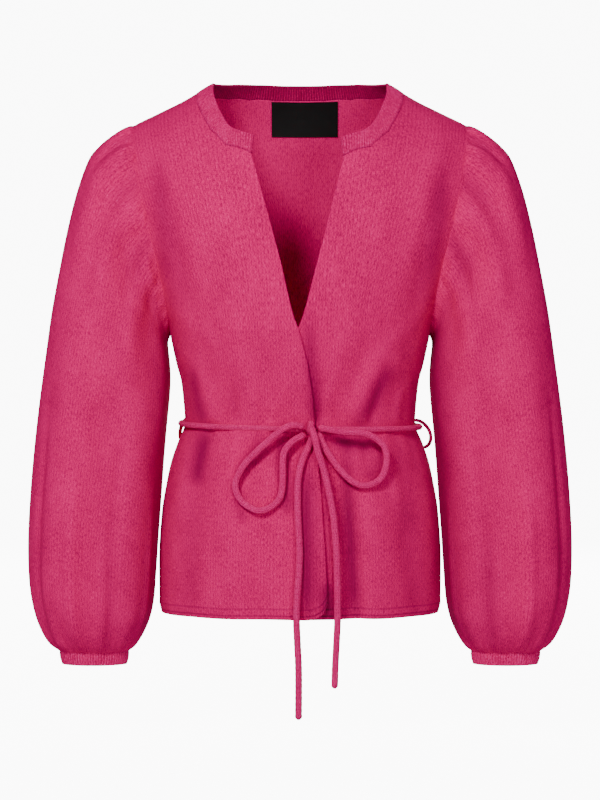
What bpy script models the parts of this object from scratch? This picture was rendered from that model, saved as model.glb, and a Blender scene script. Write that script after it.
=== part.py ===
"""Knitted wrap cardigan with balloon sleeves and a tie belt, filled out as worn.

World frame in metres, +Z up. The front faces -Y and the wearer's left is +X.
The origin is between the shoulders, level with the top of the neck at its sides.
Every panel is one knitted wall: a middle surface from tables of sections, with
its outer and inner faces half a wall away and a closed rim all round.
"""
import math

import bmesh
import bpy
from mathutils import Vector
from mathutils.bvhtree import BVHTree

# Driving sizes
WALL = 0.0026            # thickness of the knitted cloth
SEAM = 0.0003            # gap left between two pieces at a seam
HEM_Z = -0.597           # height of the hem
UNDERARM_Z = -0.285      # height of the underarm
WAIST_Z = -0.388         # height of the tie belt
SIDE_POWER = 2.3         # squareness of the body's sections
RIDGE_POWER = 3.0        # how late the shoulder turns over its ridge
RIDGE_SHIFT = 0.00085    # part of a level that each panel stops short of the ridge
SHOULDER_X = 0.188       # half distance between the shoulder points
NECK_X = 0.117           # half distance between the neckband's seams at the sides
LAP_LIFT = 0.0056        # how far the lapping front stands out over the other
HEM_BAND = 0.011         # height of the hem band
HEM_RAISE = 0.0006       # how far the hem band stands out of the panel
CORNER = (0.024, 0.016)  # width and height of the rounding of the lapping front's corner
BAND_FRONT = 0.0225      # width of the neckband at the fronts
BAND_BACK = 0.0175       # width of the neckband at the back of the neck
RIB_PITCH = 0.0031       # distance from one rib to the next
RIB_RAISE = 0.0005       # height of a rib over the groove beside it
LABEL_SIZE = (0.077, 0.039)          # width and height
LABEL_CENTRE = (0.0055, -0.0335)     # x and z
LABEL_THICK = 0.0008
CORD = 0.0072            # diameter of the belt's free ends and bow
WAIST_CORD = 0.0062      # diameter of the belt where it is pulled tight
LOOP_CORD = 0.0034       # diameter of the belt loops' thread
LOOP_UP = 0.0090         # height of a belt loop's upper end over the belt
LOOP_DOWN = 0.0250       # depth of a belt loop's lower end under the belt
LOOP_SEAT = 0.0004       # clearance of a belt loop's ends to the cloth
# Belt loops: side, degrees behind the side seam, how far the loop stands off the cloth
BELT_LOOPS = (("right", -1, 17.0, 0.0108), ("left", 1, 4.5, 0.0140))

# Facets
FRONT_COLUMNS = 12
NECK_COLUMNS = 7
NECK_SHARE = 0.68        # part of a front's width that its neck columns take
FRONT_SHARES = [NECK_SHARE * k / NECK_COLUMNS for k in range(NECK_COLUMNS + 1)]
FRONT_SHARES += [NECK_SHARE + (1 - NECK_SHARE) * k / (FRONT_COLUMNS - NECK_COLUMNS)
                 for k in range(1, FRONT_COLUMNS - NECK_COLUMNS + 1)]
BACK_COLUMNS = 22
BODY_HEIGHTS = (-0.597, -0.562, -0.524, -0.484, -0.448, -0.420, -0.402, -0.3885, -0.375,
                -0.352, -0.320, -0.285)
BODY_ROWS = len(BODY_HEIGHTS) - 1
CORD_STEP = 2.4          # diameters of a cord from one of its points to the next
ARM_ROWS = 12
SLEEVE_POINTS = 2 * ARM_ROWS

# Body below the underarm, outside sizes: height, half width, depth in front, depth behind
BODY = (
    (-0.5970, 0.1555, 0.1180, 0.1120),
    (-0.5850, 0.1585, 0.1200, 0.1150),
    (-0.5400, 0.1590, 0.1220, 0.1180),
    (-0.4870, 0.1560, 0.1190, 0.1170),
    (-0.4500, 0.1500, 0.1140, 0.1130),
    (-0.4280, 0.1450, 0.1090, 0.1080),
    (-0.4090, 0.1385, 0.1030, 0.1030),
    (-0.3850, 0.1300, 0.0970, 0.0970),
    (-0.3600, 0.1317, 0.1010, 0.1000),
    (-0.3370, 0.1345, 0.1060, 0.1030),
    (-0.3210, 0.1390, 0.1090, 0.1050),
    (-0.2850, 0.1468, 0.1150, 0.1080),
)

# Body above the underarm: share of the way up, half width, depth in front, depth behind
YOKE = (
    (0.000, 0.1468, 0.1150, 0.1080),
    (0.030, 0.1481, 0.1153, 0.1083),
    (0.117, 0.1556, 0.1160, 0.1090),
    (0.250, 0.1700, 0.1165, 0.1100),
    (0.413, 0.1893, 0.1160, 0.1110),
    (0.587, 0.2085, 0.1145, 0.1120),
    (0.750, 0.2220, 0.1120, 0.1120),
    (0.883, 0.2320, 0.1100, 0.1120),
    (1.000, 0.2360, 0.1080, 0.1120),
)

# Line along the top of the shoulder: distance from the centre, height
RIDGE = (
    (0.000, 0.055), (0.050, 0.038), (0.100, -0.0040), (0.129, -0.0226),
    (0.160, -0.0380), (0.188, -0.0520), (0.220, -0.0760),
)

# Armhole seam: share of the way up, distance from the centre
ARMHOLE = (
    (0.000, 0.1468), (0.030, 0.1466), (0.117, 0.1492), (0.250, 0.1555), (0.413, 0.1645),
    (0.587, 0.1740), (0.750, 0.1812), (0.883, 0.1855), (1.000, 0.1880),
)

# Edge of the lapping right front, hem to neckband: height, distance from the centre
RIGHT_EDGE = (
    (-0.5970, 0.0288), (-0.5760, 0.0288), (-0.4896, 0.0243), (-0.3890, 0.0160),
    (-0.3400, 0.0115), (-0.3110, 0.0060), (-0.2820, -0.0022), (-0.2693, -0.0070),
    (-0.2099, -0.0210), (-0.1494, -0.0373), (-0.0922, -0.0528),
)

# Edge of the left front under it, hem to neckband: height, distance from the centre
LEFT_EDGE = (
    (-0.5970, -0.0280), (-0.5760, -0.0280), (-0.4896, -0.0240), (-0.3890, -0.0170),
    (-0.3400, -0.0130), (-0.2820, -0.0022), (-0.2693, 0.0030), (-0.2260, 0.0146),
    (-0.1890, 0.0243), (-0.1370, 0.0373), (-0.0950, 0.0474),
)

# Neckband seam on a front, front edge to shoulder: distance from the centre, height
NECK_SEAM = ((0.0803, -0.0825), (0.0950, -0.0686), (0.1085, -0.0450))
NECK_SEAM_END = (0.1150, -0.0300)
BACK_NECK_Z = -0.0120    # height of the neckband seam at centre back

# Sleeve below the shoulder: outer x, outer z, inner x, inner z, half depth, forward shift
SLEEVE = (
    (0.2000, -0.0545, 0.1482, -0.2890, 0.0660, 0.000),
    (0.2145, -0.0630, 0.1496, -0.2935, 0.0655, 0.000),
    (0.2265, -0.0735, 0.1498, -0.2990, 0.0650, 0.001),
    (0.2370, -0.0865, 0.1492, -0.3050, 0.0645, 0.002),
    (0.2465, -0.1107, 0.1482, -0.3120, 0.0640, 0.004),
    (0.2545, -0.1380, 0.1472, -0.3200, 0.0640, 0.006),
    (0.2625, -0.1730, 0.1462, -0.3310, 0.0645, 0.009),
    (0.2700, -0.2120, 0.1460, -0.3450, 0.0655, 0.012),
    (0.2785, -0.2600, 0.1472, -0.3650, 0.0670, 0.015),
    (0.2855, -0.3120, 0.1496, -0.3920, 0.0685, 0.018),
    (0.2920, -0.3620, 0.1525, -0.4280, 0.0700, 0.020),
    (0.2975, -0.4130, 0.1553, -0.4700, 0.0715, 0.022),
    (0.3018, -0.4650, 0.1583, -0.5120, 0.0725, 0.023),
    (0.3042, -0.5150, 0.1606, -0.5500, 0.0720, 0.024),
    (0.3032, -0.5580, 0.1630, -0.5820, 0.0690, 0.024),
    (0.2985, -0.5880, 0.1675, -0.6030, 0.0630, 0.025),
    (0.2910, -0.6120, 0.1745, -0.6195, 0.0530, 0.025),
    (0.2810, -0.6290, 0.1830, -0.6320, 0.0410, 0.026),
)
SLEEVE_END = (0.2690, -0.6400, 0.1912, -0.6400, 0.0275, 0.026)
CUFF_END = (0.2660, -0.6545, 0.1935, -0.6545, 0.0260, 0.026)

# Large soft folds of the body: side, x and z at the start, x and z at the end,
# half width, height outward (a trough is below zero)
BODY_FOLDS = (
    ("front", -0.122, -0.320, -0.100, -0.384, 0.015, 0.0050),
    ("front", -0.094, -0.330, -0.080, -0.384, 0.014, -0.0030),
    ("front", -0.096, -0.400, -0.110, -0.460, 0.015, -0.0045),
    ("front", -0.124, -0.400, -0.134, -0.500, 0.015, 0.0040),
    ("front", -0.034, -0.320, -0.022, -0.384, 0.015, -0.0035),
    ("front", 0.100, -0.310, 0.056, -0.384, 0.017, 0.0060),
    ("front", 0.074, -0.310, 0.036, -0.384, 0.015, -0.0050),
    ("front", 0.014, -0.440, 0.012, -0.590, 0.014, 0.0045),
    ("front", 0.044, -0.420, 0.060, -0.597, 0.016, -0.0065),
    ("front", 0.076, -0.430, 0.092, -0.597, 0.022, 0.0050),
    ("front", -0.044, -0.420, -0.040, -0.597, 0.022, -0.0045),
    ("front", -0.080, -0.460, -0.088, -0.597, 0.024, 0.0035),
    ("front", -0.152, -0.080, -0.140, -0.200, 0.018, 0.0045),
    ("front", 0.150, -0.080, 0.138, -0.200, 0.018, 0.0045),
    ("back", -0.060, -0.300, -0.048, -0.384, 0.018, 0.0055),
    ("back", 0.066, -0.290, 0.044, -0.384, 0.019, 0.0060),
    ("back", 0.004, -0.320, 0.002, -0.384, 0.018, -0.0045),
    ("back", -0.054, -0.400, -0.074, -0.590, 0.022, 0.0060),
    ("back", 0.020, -0.400, 0.026, -0.590, 0.020, -0.0055),
    ("back", 0.066, -0.405, 0.088, -0.590, 0.022, 0.0055),
    ("back", -0.014, -0.410, -0.024, -0.560, 0.018, 0.0035),
)

# Soft folds of a sleeve: angle round it, share of its length at start and end,
# half width of the angle, height outward
SLEEVE_FOLDS = (
    (45.0, 0.00, 0.42, 12.0, 0.0060),
    (60.0, 0.00, 0.30, 10.0, -0.0045),
    (75.0, 0.00, 0.46, 12.0, 0.0065),
    (90.0, 0.00, 0.34, 10.0, -0.0050),
    (108.0, 0.00, 0.52, 12.0, 0.0065),
    (128.0, 0.14, 0.44, 12.0, -0.0045),
    (150.0, 0.22, 0.60, 13.0, 0.0040),
    (225.0, 0.14, 0.50, 14.0, 0.0045),
    (246.0, 0.00, 0.36, 11.0, -0.0050),
    (266.0, 0.00, 0.48, 12.0, 0.0060),
    (285.0, 0.00, 0.32, 10.0, -0.0045),
    (303.0, 0.00, 0.42, 12.0, 0.0055),
    (62.0, 0.46, 0.92, 18.0, 0.0055),
    (98.0, 0.50, 0.90, 16.0, -0.0060),
    (134.0, 0.50, 0.94, 18.0, 0.0050),
    (230.0, 0.48, 0.92, 18.0, 0.0050),
    (268.0, 0.50, 0.90, 18.0, -0.0050),
    (310.0, 0.46, 0.92, 20.0, 0.0050),
)
GATHER_DEPTH = 0.0034
UNDERARM_EASE = 0.0009   # extra room where a sleeve passes over the side seam

# Tie belt, hand-placed routes: x, y and z of each point
KNOT = (0.0118, -0.1112, -0.3910)
KNOT_HALF = (0.0085, 0.0070, 0.0080)
# Ways that the six strands leave the knot
RIGHT_BOW_WAYS = ((-0.92, -0.40, 0.24), (-0.75, -0.25, -0.62))
LEFT_BOW_WAYS = ((0.93, -0.35, 0.05), (0.75, -0.20, -0.63))
LONG_END_WAY = (0.02, -0.05, -1.00)
SHORT_END_WAY = (0.15, -0.98, -0.10)
BELT_START = math.radians(0.8)      # where the tight belt leaves the knot, from centre front
BELT_TURN = math.radians(-352.0)    # how far it goes round to reach the knot again
BELT_RAYS = 60           # places round the waist where the cloth's reach is measured
BELT_OVAL = 1.3          # how much wider than deep the waist is
BELT_CLEAR = 0.0006      # gap from the tight belt to the cloth
FRONT_DROP = 0.0035      # how far the belt hangs lower in front than at the sides
SIDE_DROP = 0.0020       # how far it hangs lower on the left than on the right
FAR_OUT = 0.3            # distance from the centre where the rays start
RIGHT_BOW = (
    (-0.0080, -0.1188, -0.3870), (-0.0190, -0.1188, -0.3915),
    (-0.0375, -0.1180, -0.4070), (-0.0575, -0.1170, -0.4265), (-0.0675, -0.1175, -0.4430),
    (-0.0695, -0.1185, -0.4560), (-0.0620, -0.1215, -0.4700), (-0.0460, -0.1240, -0.4790),
    (-0.0320, -0.1245, -0.4755), (-0.0215, -0.1245, -0.4650), (-0.0185, -0.1240, -0.4480),
    (-0.0185, -0.1230, -0.4280), (-0.0165, -0.1215, -0.4150), (-0.0075, -0.1190, -0.4045),
)
LEFT_BOW = (
    (0.0330, -0.1155, -0.3920), (0.0480, -0.1145, -0.3945),
    (0.0700, -0.1120, -0.3960), (0.0860, -0.1095, -0.4045), (0.0935, -0.1085, -0.4165),
    (0.0925, -0.1090, -0.4340), (0.0850, -0.1110, -0.4470), (0.0705, -0.1140, -0.4525),
    (0.0565, -0.1165, -0.4480), (0.0420, -0.1175, -0.4340), (0.0300, -0.1165, -0.4170),
    (0.0245, -0.1150, -0.4070),
)
LONG_END = (
    (0.0085, -0.1150, -0.4120), (0.0025, -0.1205, -0.4250),
    (-0.0020, -0.1262, -0.4450), (-0.0026, -0.1296, -0.4700), (-0.0018, -0.1318, -0.4950),
    (-0.0005, -0.1336, -0.5200), (-0.0012, -0.1346, -0.5450), (-0.0030, -0.1350, -0.5700),
    (-0.0038, -0.1350, -0.5950), (-0.0028, -0.1346, -0.6200), (-0.0016, -0.1344, -0.6450),
    (-0.0014, -0.1343, -0.6700), (-0.0016, -0.1343, -0.7030),
)
SHORT_END = (
    (0.0165, -0.1275, -0.4020), (0.0185, -0.1280, -0.4120), (0.0225, -0.1275, -0.4250),
    (0.0275, -0.1255, -0.4420), (0.0315, -0.1268, -0.4600), (0.0350, -0.1280, -0.4780),
    (0.0375, -0.1294, -0.5000), (0.0392, -0.1304, -0.5250), (0.0400, -0.1310, -0.5500),
    (0.0405, -0.1310, -0.5750), (0.0402, -0.1306, -0.6000), (0.0390, -0.1302, -0.6250),
    (0.0378, -0.1300, -0.6480), (0.0372, -0.1299, -0.6700),
)

CLOTH = (0.62, 0.045, 0.165)
RIB = (0.58, 0.038, 0.150)
BELT = (0.68, 0.060, 0.190)
BLACK = (0.012, 0.011, 0.012)


def clear_scene():
    for obj in list(bpy.data.objects):
        bpy.data.objects.remove(obj, do_unlink=True)


def smooth(table, at, column=1):
    """Read one column of a table at a value of its first column, without overshoot."""
    keys = [row[0] for row in table]
    values = [row[column] for row in table]
    if at <= keys[0]:
        return values[0]
    if at >= keys[-1]:
        return values[-1]
    steps = [keys[i + 1] - keys[i] for i in range(len(keys) - 1)]
    slopes = [(values[i + 1] - values[i]) / steps[i] for i in range(len(steps))]
    tangents = [slopes[0]]
    for before, after in zip(slopes, slopes[1:]):
        level = before * after <= 0.0
        tangents.append(0.0 if level else 2.0 * before * after / (before + after))
    tangents.append(slopes[-1])
    i = max(k for k in range(len(steps)) if keys[k] <= at)
    s = (at - keys[i]) / steps[i]
    rise = s * s * (3.0 - 2.0 * s)
    lead = s * (1.0 - s) ** 2 * steps[i] * tangents[i]
    tail = -s * s * (1.0 - s) * steps[i] * tangents[i + 1]
    return values[i] + (values[i + 1] - values[i]) * rise + lead + tail


def ease(value, low, high):
    """Go smoothly from 0 at low to 1 at high."""
    s = min(1.0, max(0.0, (value - low) / (high - low)))
    return s * s * (3.0 - 2.0 * s)


def fold_height(side, x, z):
    """Sum of the soft folds of one side of the body at a place on it."""
    total = 0.0
    for face, x0, z0, x1, z1, half, height in BODY_FOLDS:
        if face != side:
            continue
        dx, dz = x1 - x0, z1 - z0
        length2 = dx * dx + dz * dz
        along = ((x - x0) * dx + (z - z0) * dz) / length2
        across = abs((x - x0) * dz - (z - z0) * dx) / math.sqrt(length2)
        reach = ease(along, -0.35, 0.25) * (1.0 - ease(along, 0.85, 1.15))
        total += height * reach * math.exp(-(across / half) ** 2)
    return total


def section(level):
    """Half width and depths of the body's middle surface, and its share of the way up."""
    if level <= 1.0:
        z = HEM_Z + (UNDERARM_Z - HEM_Z) * level
        half, front, back = (smooth(BODY, z, k) - WALL / 2 for k in (1, 2, 3))
        return half, front, back, 0.0, z
    up = math.sin((level - 1.0) * math.pi / 2)
    half, front, back = (smooth(YOKE, up, k) - WALL / 2 for k in (1, 2, 3))
    turn = math.sqrt(max(0.0, 1.0 - up ** RIDGE_POWER))
    return half, front * turn, back * turn, up, None


def torso(angle, level, lift=0.0):
    """A place on the body: angle 0 is centre front and pi centre back, level 1 the underarm."""
    if level > 2.0:
        angle = math.pi - angle
        level = 4.0 - level
    half, front, back, up, z = section(max(0.0, level))
    across = math.sin(angle)
    x = half * across
    if z is None:
        z = UNDERARM_Z + (smooth(RIDGE, abs(x)) - UNDERARM_Z) * up
    if level < 0.0:
        z = HEM_Z + (UNDERARM_Z - HEM_Z) * level
    depth = max(0.0, 1.0 - abs(across) ** SIDE_POWER) ** (1.0 / SIDE_POWER)
    inward = ease(depth, 0.15, 0.6)
    if math.cos(angle) >= 0.0:
        lap = lift * ease(z, -0.17, -0.25) * (1.0 - ease(abs(x), 0.045, 0.105))
        return Vector((x, -front * depth - inward * fold_height("front", x, z) - lap, z))
    return Vector((x, back * depth + inward * fold_height("back", x, z), z))


def torso_normal(angle, level, lift=0.0):
    step = 1e-3
    along = torso(angle + step, level, lift) - torso(angle - step, level, lift)
    up = torso(angle, level + step, lift) - torso(angle, level - step, lift)
    return along.cross(up).normalized()


def level_of(x, z):
    """Level on the body of a place given by its distance from the centre and height."""
    if z <= UNDERARM_Z:
        return (z - HEM_Z) / (UNDERARM_Z - HEM_Z)
    up = (z - UNDERARM_Z) / (smooth(RIDGE, abs(x)) - UNDERARM_Z)
    return 1.0 + math.asin(min(1.0, up)) * 2 / math.pi


def place(x, z, behind=False):
    """Angle and level of a place given by its distance from the centre and height."""
    level = level_of(x, z)
    angle = math.asin(max(-1.0, min(1.0, x / section(level)[0])))
    return (math.pi - angle if behind else angle, level)


def armhole_place(row, side, behind):
    """Angle and level of a point of the armhole seam, row 0 at the underarm."""
    up = (1.0 - math.cos(math.pi * row / ARM_ROWS)) / 2
    level = 1.0 + math.asin(up) * 2 / math.pi
    half = section(level)[0]
    x = min(smooth(ARMHOLE, up) - WALL / 2, half)
    angle = math.asin(x / half) if row else math.pi / 2
    return (side * (math.pi - angle if behind else angle), level)


ROWS = BODY_ROWS + ARM_ROWS


def side_place(row, side, behind):
    """Outer boundary of a panel: side seam, then armhole, moved in by half the seam."""
    if row <= BODY_ROWS:
        level = level_of(0.0, BODY_HEIGHTS[row])
        front, back = section(level)[1:3]
        shift = SEAM / 2 / (back if behind else front)
        angle = math.pi / 2 + shift if behind else math.pi / 2 - shift
        return (side * angle, level)
    return armhole_place(row - BODY_ROWS, side, behind)


def spread(points, count, crowd=1.0):
    """Samples of a polyline of (angle, level) points by real distance, crowded to its end."""
    places = [torso(a, l) for a, l in points]
    runs = [0.0]
    for p, q in zip(places, places[1:]):
        runs.append(runs[-1] + (q - p).length)
    samples = []
    for k in range(count + 1):
        want = runs[-1] * (1.0 - (1.0 - k / count) ** crowd)
        i = min(max(j for j in range(len(runs)) if runs[j] <= want + 1e-12), len(runs) - 2)
        s = (want - runs[i]) / (runs[i + 1] - runs[i])
        samples.append(tuple(a + (b - a) * s for a, b in zip(points[i], points[i + 1])))
    return samples


def front_boundaries(side, edge):
    """Inner, outer, bottom and top boundaries of one front, as (angle, level) points."""
    top_z = edge[-1][0]
    heights = list(BODY_HEIGHTS)
    heights += [UNDERARM_Z + (top_z - UNDERARM_Z) * k / ARM_ROWS for k in range(1, ARM_ROWS + 1)]
    inner = [place(smooth(edge, z), z) for z in heights]
    outer = [side_place(row, side, False) for row in range(ROWS + 1)]
    bottom = [tuple((1 - u) * a + u * b for a, b in zip(inner[0], outer[0])) for u in FRONT_SHARES]
    corner = (abs(edge[-1][1]), edge[-1][0])
    seam = [corner] + list(NECK_SEAM)
    neck = [(x, smooth(seam, x)) for x in
            [corner[0] + (seam[-1][0] - corner[0]) * k / 16 for k in range(17)]]
    neck.append(NECK_SEAM_END)
    neck = [(side * angle, level) for angle, level in (place(x, z) for x, z in neck)]
    neck.append((side * math.asin(NECK_X / section(2.0)[0]), 2.0))
    neck = spread(neck, NECK_COLUMNS, 1.5)
    ridge = []
    count = FRONT_COLUMNS - NECK_COLUMNS
    for k in range(1, count + 1):
        x = NECK_X + (SHOULDER_X - WALL / 2 - NECK_X) * k / count
        ridge.append((side * math.asin(x / section(2.0)[0]), 2.0))
    return inner, outer, bottom, neck + ridge


def patch(inner, outer, bottom, top, shares, decay=1.0):
    """Fill four boundaries, each a list of (angle, level), with rows of places.

    A share gives each column's part of the way across, and the decay how soon the top
    boundary's own shape is left behind below it.
    """
    rows, columns = len(inner) - 1, len(bottom) - 1
    grid = []
    for r in range(rows + 1):
        v = (inner[r][1] - inner[0][1]) / (inner[-1][1] - inner[0][1])
        low, high = 1 - v, v ** decay
        line = []
        for c in range(columns + 1):
            u = shares[c]
            mix = []
            for k in (0, 1):
                across = (1 - u) * inner[r][k] + u * outer[r][k]
                from_bottom = bottom[c][k] - (1 - u) * bottom[0][k] - u * bottom[-1][k]
                from_top = top[c][k] - (1 - u) * top[0][k] - u * top[-1][k]
                mix.append(across + low * from_bottom + high * from_top)
            line.append(tuple(mix))
        grid.append(line)
    return grid


def wall(name, outside, inside, colour, ring=False):
    """One closed wall between two grids of points, with a rim along each open edge."""
    rows, columns = len(outside), len(outside[0])
    mesh = bpy.data.meshes.new(name)
    bm = bmesh.new()
    sheets = [[[bm.verts.new(p) for p in line] for line in grid] for grid in (outside, inside)]
    reach = columns if ring else columns - 1
    for sheet, turned in zip(sheets, (False, True)):
        for r in range(rows - 1):
            for c in range(reach):
                d = (c + 1) % columns
                quad = [sheet[r][c], sheet[r][d], sheet[r + 1][d], sheet[r + 1][c]]
                bm.faces.new(quad[::-1] if turned else quad)
    out, inn = sheets
    for r, flip in ((0, False), (rows - 1, True)):
        for c in range(reach):
            d = (c + 1) % columns
            quad = [out[r][c], inn[r][c], inn[r][d], out[r][d]]
            bm.faces.new(quad[::-1] if flip else quad)
    if not ring:
        for c, flip in ((0, True), (columns - 1, False)):
            for r in range(rows - 1):
                quad = [out[r][c], inn[r][c], inn[r + 1][c], out[r + 1][c]]
                bm.faces.new(quad[::-1] if flip else quad)
    bmesh.ops.recalc_face_normals(bm, faces=bm.faces)
    bmesh.ops.triangulate(bm, faces=bm.faces)
    bm.to_mesh(mesh)
    bm.free()
    mesh.shade_smooth()
    mesh.set_sharp_from_angle(angle=math.radians(50))
    return add_object(name, mesh, colour)


def add_object(name, data, colour, roughness=0.9):
    obj = bpy.data.objects.new(name, data)
    GARMENT.objects.link(obj)
    material = bpy.data.materials.new(name + "_yarn")
    material.use_nodes = True
    shader = material.node_tree.nodes["Principled BSDF"]
    shader.inputs["Base Color"].default_value = (*colour, 1.0)
    shader.inputs["Roughness"].default_value = roughness
    shader.inputs["Metallic"].default_value = 0.0
    data.materials.append(material)
    return obj


def body_panel(name, places, lift=0.0):
    """One knitted panel of the body, with its hem band raised in the outer face."""
    outside, inside = [], []
    for line in places:
        out_line, in_line = [], []
        for angle, level in line:
            middle = torso(angle, level, lift)
            normal = torso_normal(angle, level, lift)
            band = HEM_RAISE if middle.z < HEM_Z + HEM_BAND + 0.001 else 0.0
            out_line.append(middle + normal * (WALL / 2 + band))
            in_line.append(middle - normal * WALL / 2)
        outside.append(out_line)
        inside.append(in_line)
    return wall(name, outside, inside, CLOTH)


def with_hem_row(grid):
    """Add a row at the top of the hem band, so the band has its own edge."""
    share = HEM_BAND / (BODY_HEIGHTS[1] - HEM_Z)
    low, high = grid[0], grid[1]
    rows = []
    for part in (share, share + 0.12):
        rows.append([tuple(a + (b - a) * part for a, b in zip(p, q)) for p, q in zip(low, high)])
    return [low] + rows + grid[1:]


def part_ridge(grid):
    """Draw the top row back from the shoulder's ridge, so the two panels stay a seam apart."""
    grid[-1] = [(a, min(l, 2.0 - RIDGE_SHIFT)) for a, l in grid[-1]]
    return grid


def back_places():
    """Rows of places of the back panel, from the right side seam to the left one."""
    half = BACK_COLUMNS // 2
    ridge_count = FRONT_COLUMNS - NECK_COLUMNS
    neck_count = half - ridge_count
    top = []
    for k in range(ridge_count + 1):
        x = SHOULDER_X - WALL / 2 - (SHOULDER_X - WALL / 2 - NECK_X) * k / ridge_count
        top.append((math.pi - math.asin(x / section(2.0)[0]), 2.0))
    side_z = smooth(RIDGE, NECK_X) - 0.0006
    for k in range(1, neck_count + 1):
        turn = k / neck_count * math.pi / 2
        top.append(place(NECK_X * math.cos(turn), side_z + (BACK_NECK_Z - side_z) * math.sin(turn), True))
    outer = [side_place(row, 1, True) for row in range(ROWS + 1)]
    inner = [(math.pi, level_of(0.0, z)) for z in BODY_HEIGHTS]
    inner += [(math.pi, 1.0 + (top[-1][1] - 1.0) * r / ARM_ROWS) for r in range(1, ARM_ROWS + 1)]
    bottom = [(outer[0][0] + (math.pi - outer[0][0]) * k / half, 0.0) for k in range(half + 1)]
    left = patch(outer, inner, bottom, top, [k / half for k in range(half + 1)])
    grid = []
    for line in left:
        mirrored = [(2 * math.pi - a, l) for a, l in line[:-1]]
        grid.append(line + mirrored[::-1])
    return grid


def round_corner(grid):
    """Round the lower front corner by lifting the hem there."""
    wide, high = CORNER
    per_level = UNDERARM_Z - HEM_Z
    columns = len(grid[0])
    corner = torso(*grid[0][0])
    for c in range(columns):
        away = (torso(*grid[0][c]) - corner).length
        rise = high * (1.0 - math.sqrt(1.0 - max(0.0, 1.0 - away / wide) ** 2))
        for r in range(3):
            angle, level = grid[r][c]
            grid[r][c] = (angle, level + rise / per_level * (1.0 - r / 3))
    return grid


def make_body():
    panels = {}
    for name, side, edge, lift in (
            ("right_front", -1, RIGHT_EDGE, LAP_LIFT), ("left_front", 1, LEFT_EDGE, 0.0)):
        inner, outer, bottom, top = front_boundaries(side, edge)
        grid = part_ridge(patch(inner, outer, bottom, top, FRONT_SHARES, 3.0))
        grid = with_hem_row(grid)
        if side < 0:
            grid = round_corner(grid)
        panels[name] = grid
        body_panel(name, grid, lift)
    grid = part_ridge(back_places())
    panels["back"] = with_hem_row(grid)
    body_panel("back", panels["back"])
    return panels


def sleeve_ring(row, side):
    """Points of one sleeve ring, from the outside forward and round: outer place and radial."""
    ox, oz, ix, iz, depth, forward = row
    outer = Vector((side * ox, -forward, oz))
    inner = Vector((side * ix, -forward, iz))
    centre = (outer + inner) / 2
    half = (outer - inner) / 2
    ring = []
    for k in range(SLEEVE_POINTS):
        turn = 2 * math.pi * k / SLEEVE_POINTS
        forth = Vector((0.0, -1.0, 0.0))
        reach = math.cos(turn) * half + math.sin(turn) * depth * forth
        radial = math.cos(turn) / half.length * half.normalized() + math.sin(turn) / depth * forth
        ring.append((centre + reach, radial.normalized()))
    return ring


def armhole_ring(side):
    """The armhole seam as a sleeve ring, moved out until it clears the body's wall."""
    front = [armhole_place(row, side, False) for row in range(ARM_ROWS, -1, -1)]
    rear = [armhole_place(row, side, True) for row in range(1, ARM_ROWS)]
    ring = []
    points = [torso(a, l) for a, l in front + rear]
    centre = sum(points, Vector()) / len(points)
    for (angle, level), point in zip(front + rear, points):
        normal = torso_normal(angle, level)
        radial = Vector((0.0, point.y - centre.y, point.z - centre.z)).normalized()
        shift = SEAM + WALL / 2 * abs(normal.x) + UNDERARM_EASE * max(0.0, -radial.z) ** 2
        ring.append((point + Vector((side * shift, 0.0, 0.0)) + radial * WALL / 2, radial))
    return ring


def sleeve_fold(angle, share):
    """Sum of a sleeve's soft folds at an angle round it and a share of its length."""
    total = 0.0
    for middle, start, end, half, height in SLEEVE_FOLDS:
        away = (angle - middle + 180.0) % 360.0 - 180.0
        reach = ease(share, start - 0.06, start + 0.07) * (1.0 - ease(share, end - 0.12, end + 0.02))
        total += height * reach * math.exp(-(away / half) ** 2)
    return total


def make_sleeve(name, side):
    """Balloon sleeve from the armhole to the cuff, gathered at both ends."""
    outside, inside = [], []
    rings = [armhole_ring(side)] + [sleeve_ring(row, side) for row in SLEEVE + (SLEEVE_END,)]
    last = len(rings) - 1
    for r, ring in enumerate(rings):
        share = r / last
        held = ease(share, 0.0, 0.08) * (1.0 - ease(share, 0.90, 1.0))
        gather = GATHER_DEPTH * ease(share, 0.70, 0.90) * (1.0 - ease(share, 0.93, 1.0))
        out_line, in_line = [], []
        for k, (point, radial) in enumerate(ring):
            angle = 360.0 * k / SLEEVE_POINTS
            out = held * sleeve_fold(angle, share) + gather * (0.5 if k % 2 else -0.5)
            out_line.append(point + radial * out)
            in_line.append(point + radial * (out - WALL))
        outside.append(out_line)
        inside.append(in_line)
    return wall(name, outside, inside, CLOTH, ring=True)


def ribbed(points, normals, closed):
    """Even samples of a line of points, two to a rib, with the rib's height at each."""
    if closed:
        points, normals = points + points[:1], normals + normals[:1]
    runs = [0.0]
    for p, q in zip(points, points[1:]):
        runs.append(runs[-1] + (q - p).length)
    count = 2 * int(round(runs[-1] / RIB_PITCH))
    last = len(points) - 1
    before = [points[i - 1] if i else points[last - 1 if closed else 0] for i in range(last + 1)]
    after = [points[i + 1] if i < last else points[1 if closed else last] for i in range(last + 1)]
    tangents = [(q - p).normalized() for p, q in zip(before, after)]
    samples = []
    for k in range(count if closed else count + 1):
        want = runs[-1] * k / count
        i = min(max(j for j in range(len(runs)) if runs[j] <= want + 1e-12), len(runs) - 2)
        s = (want - runs[i]) / (runs[i + 1] - runs[i])
        along = tangents[i].lerp(tangents[i + 1], s).normalized()
        normal = normals[i].lerp(normals[i + 1], s)
        normal = (normal - along * normal.dot(along)).normalized()
        height = 0.0 if k % 2 else -RIB_RAISE
        twist = normals[i].cross(normals[i + 1]).length
        samples.append((i, s, points[i].lerp(points[i + 1], s), along, normal, height, twist))
    return samples


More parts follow.
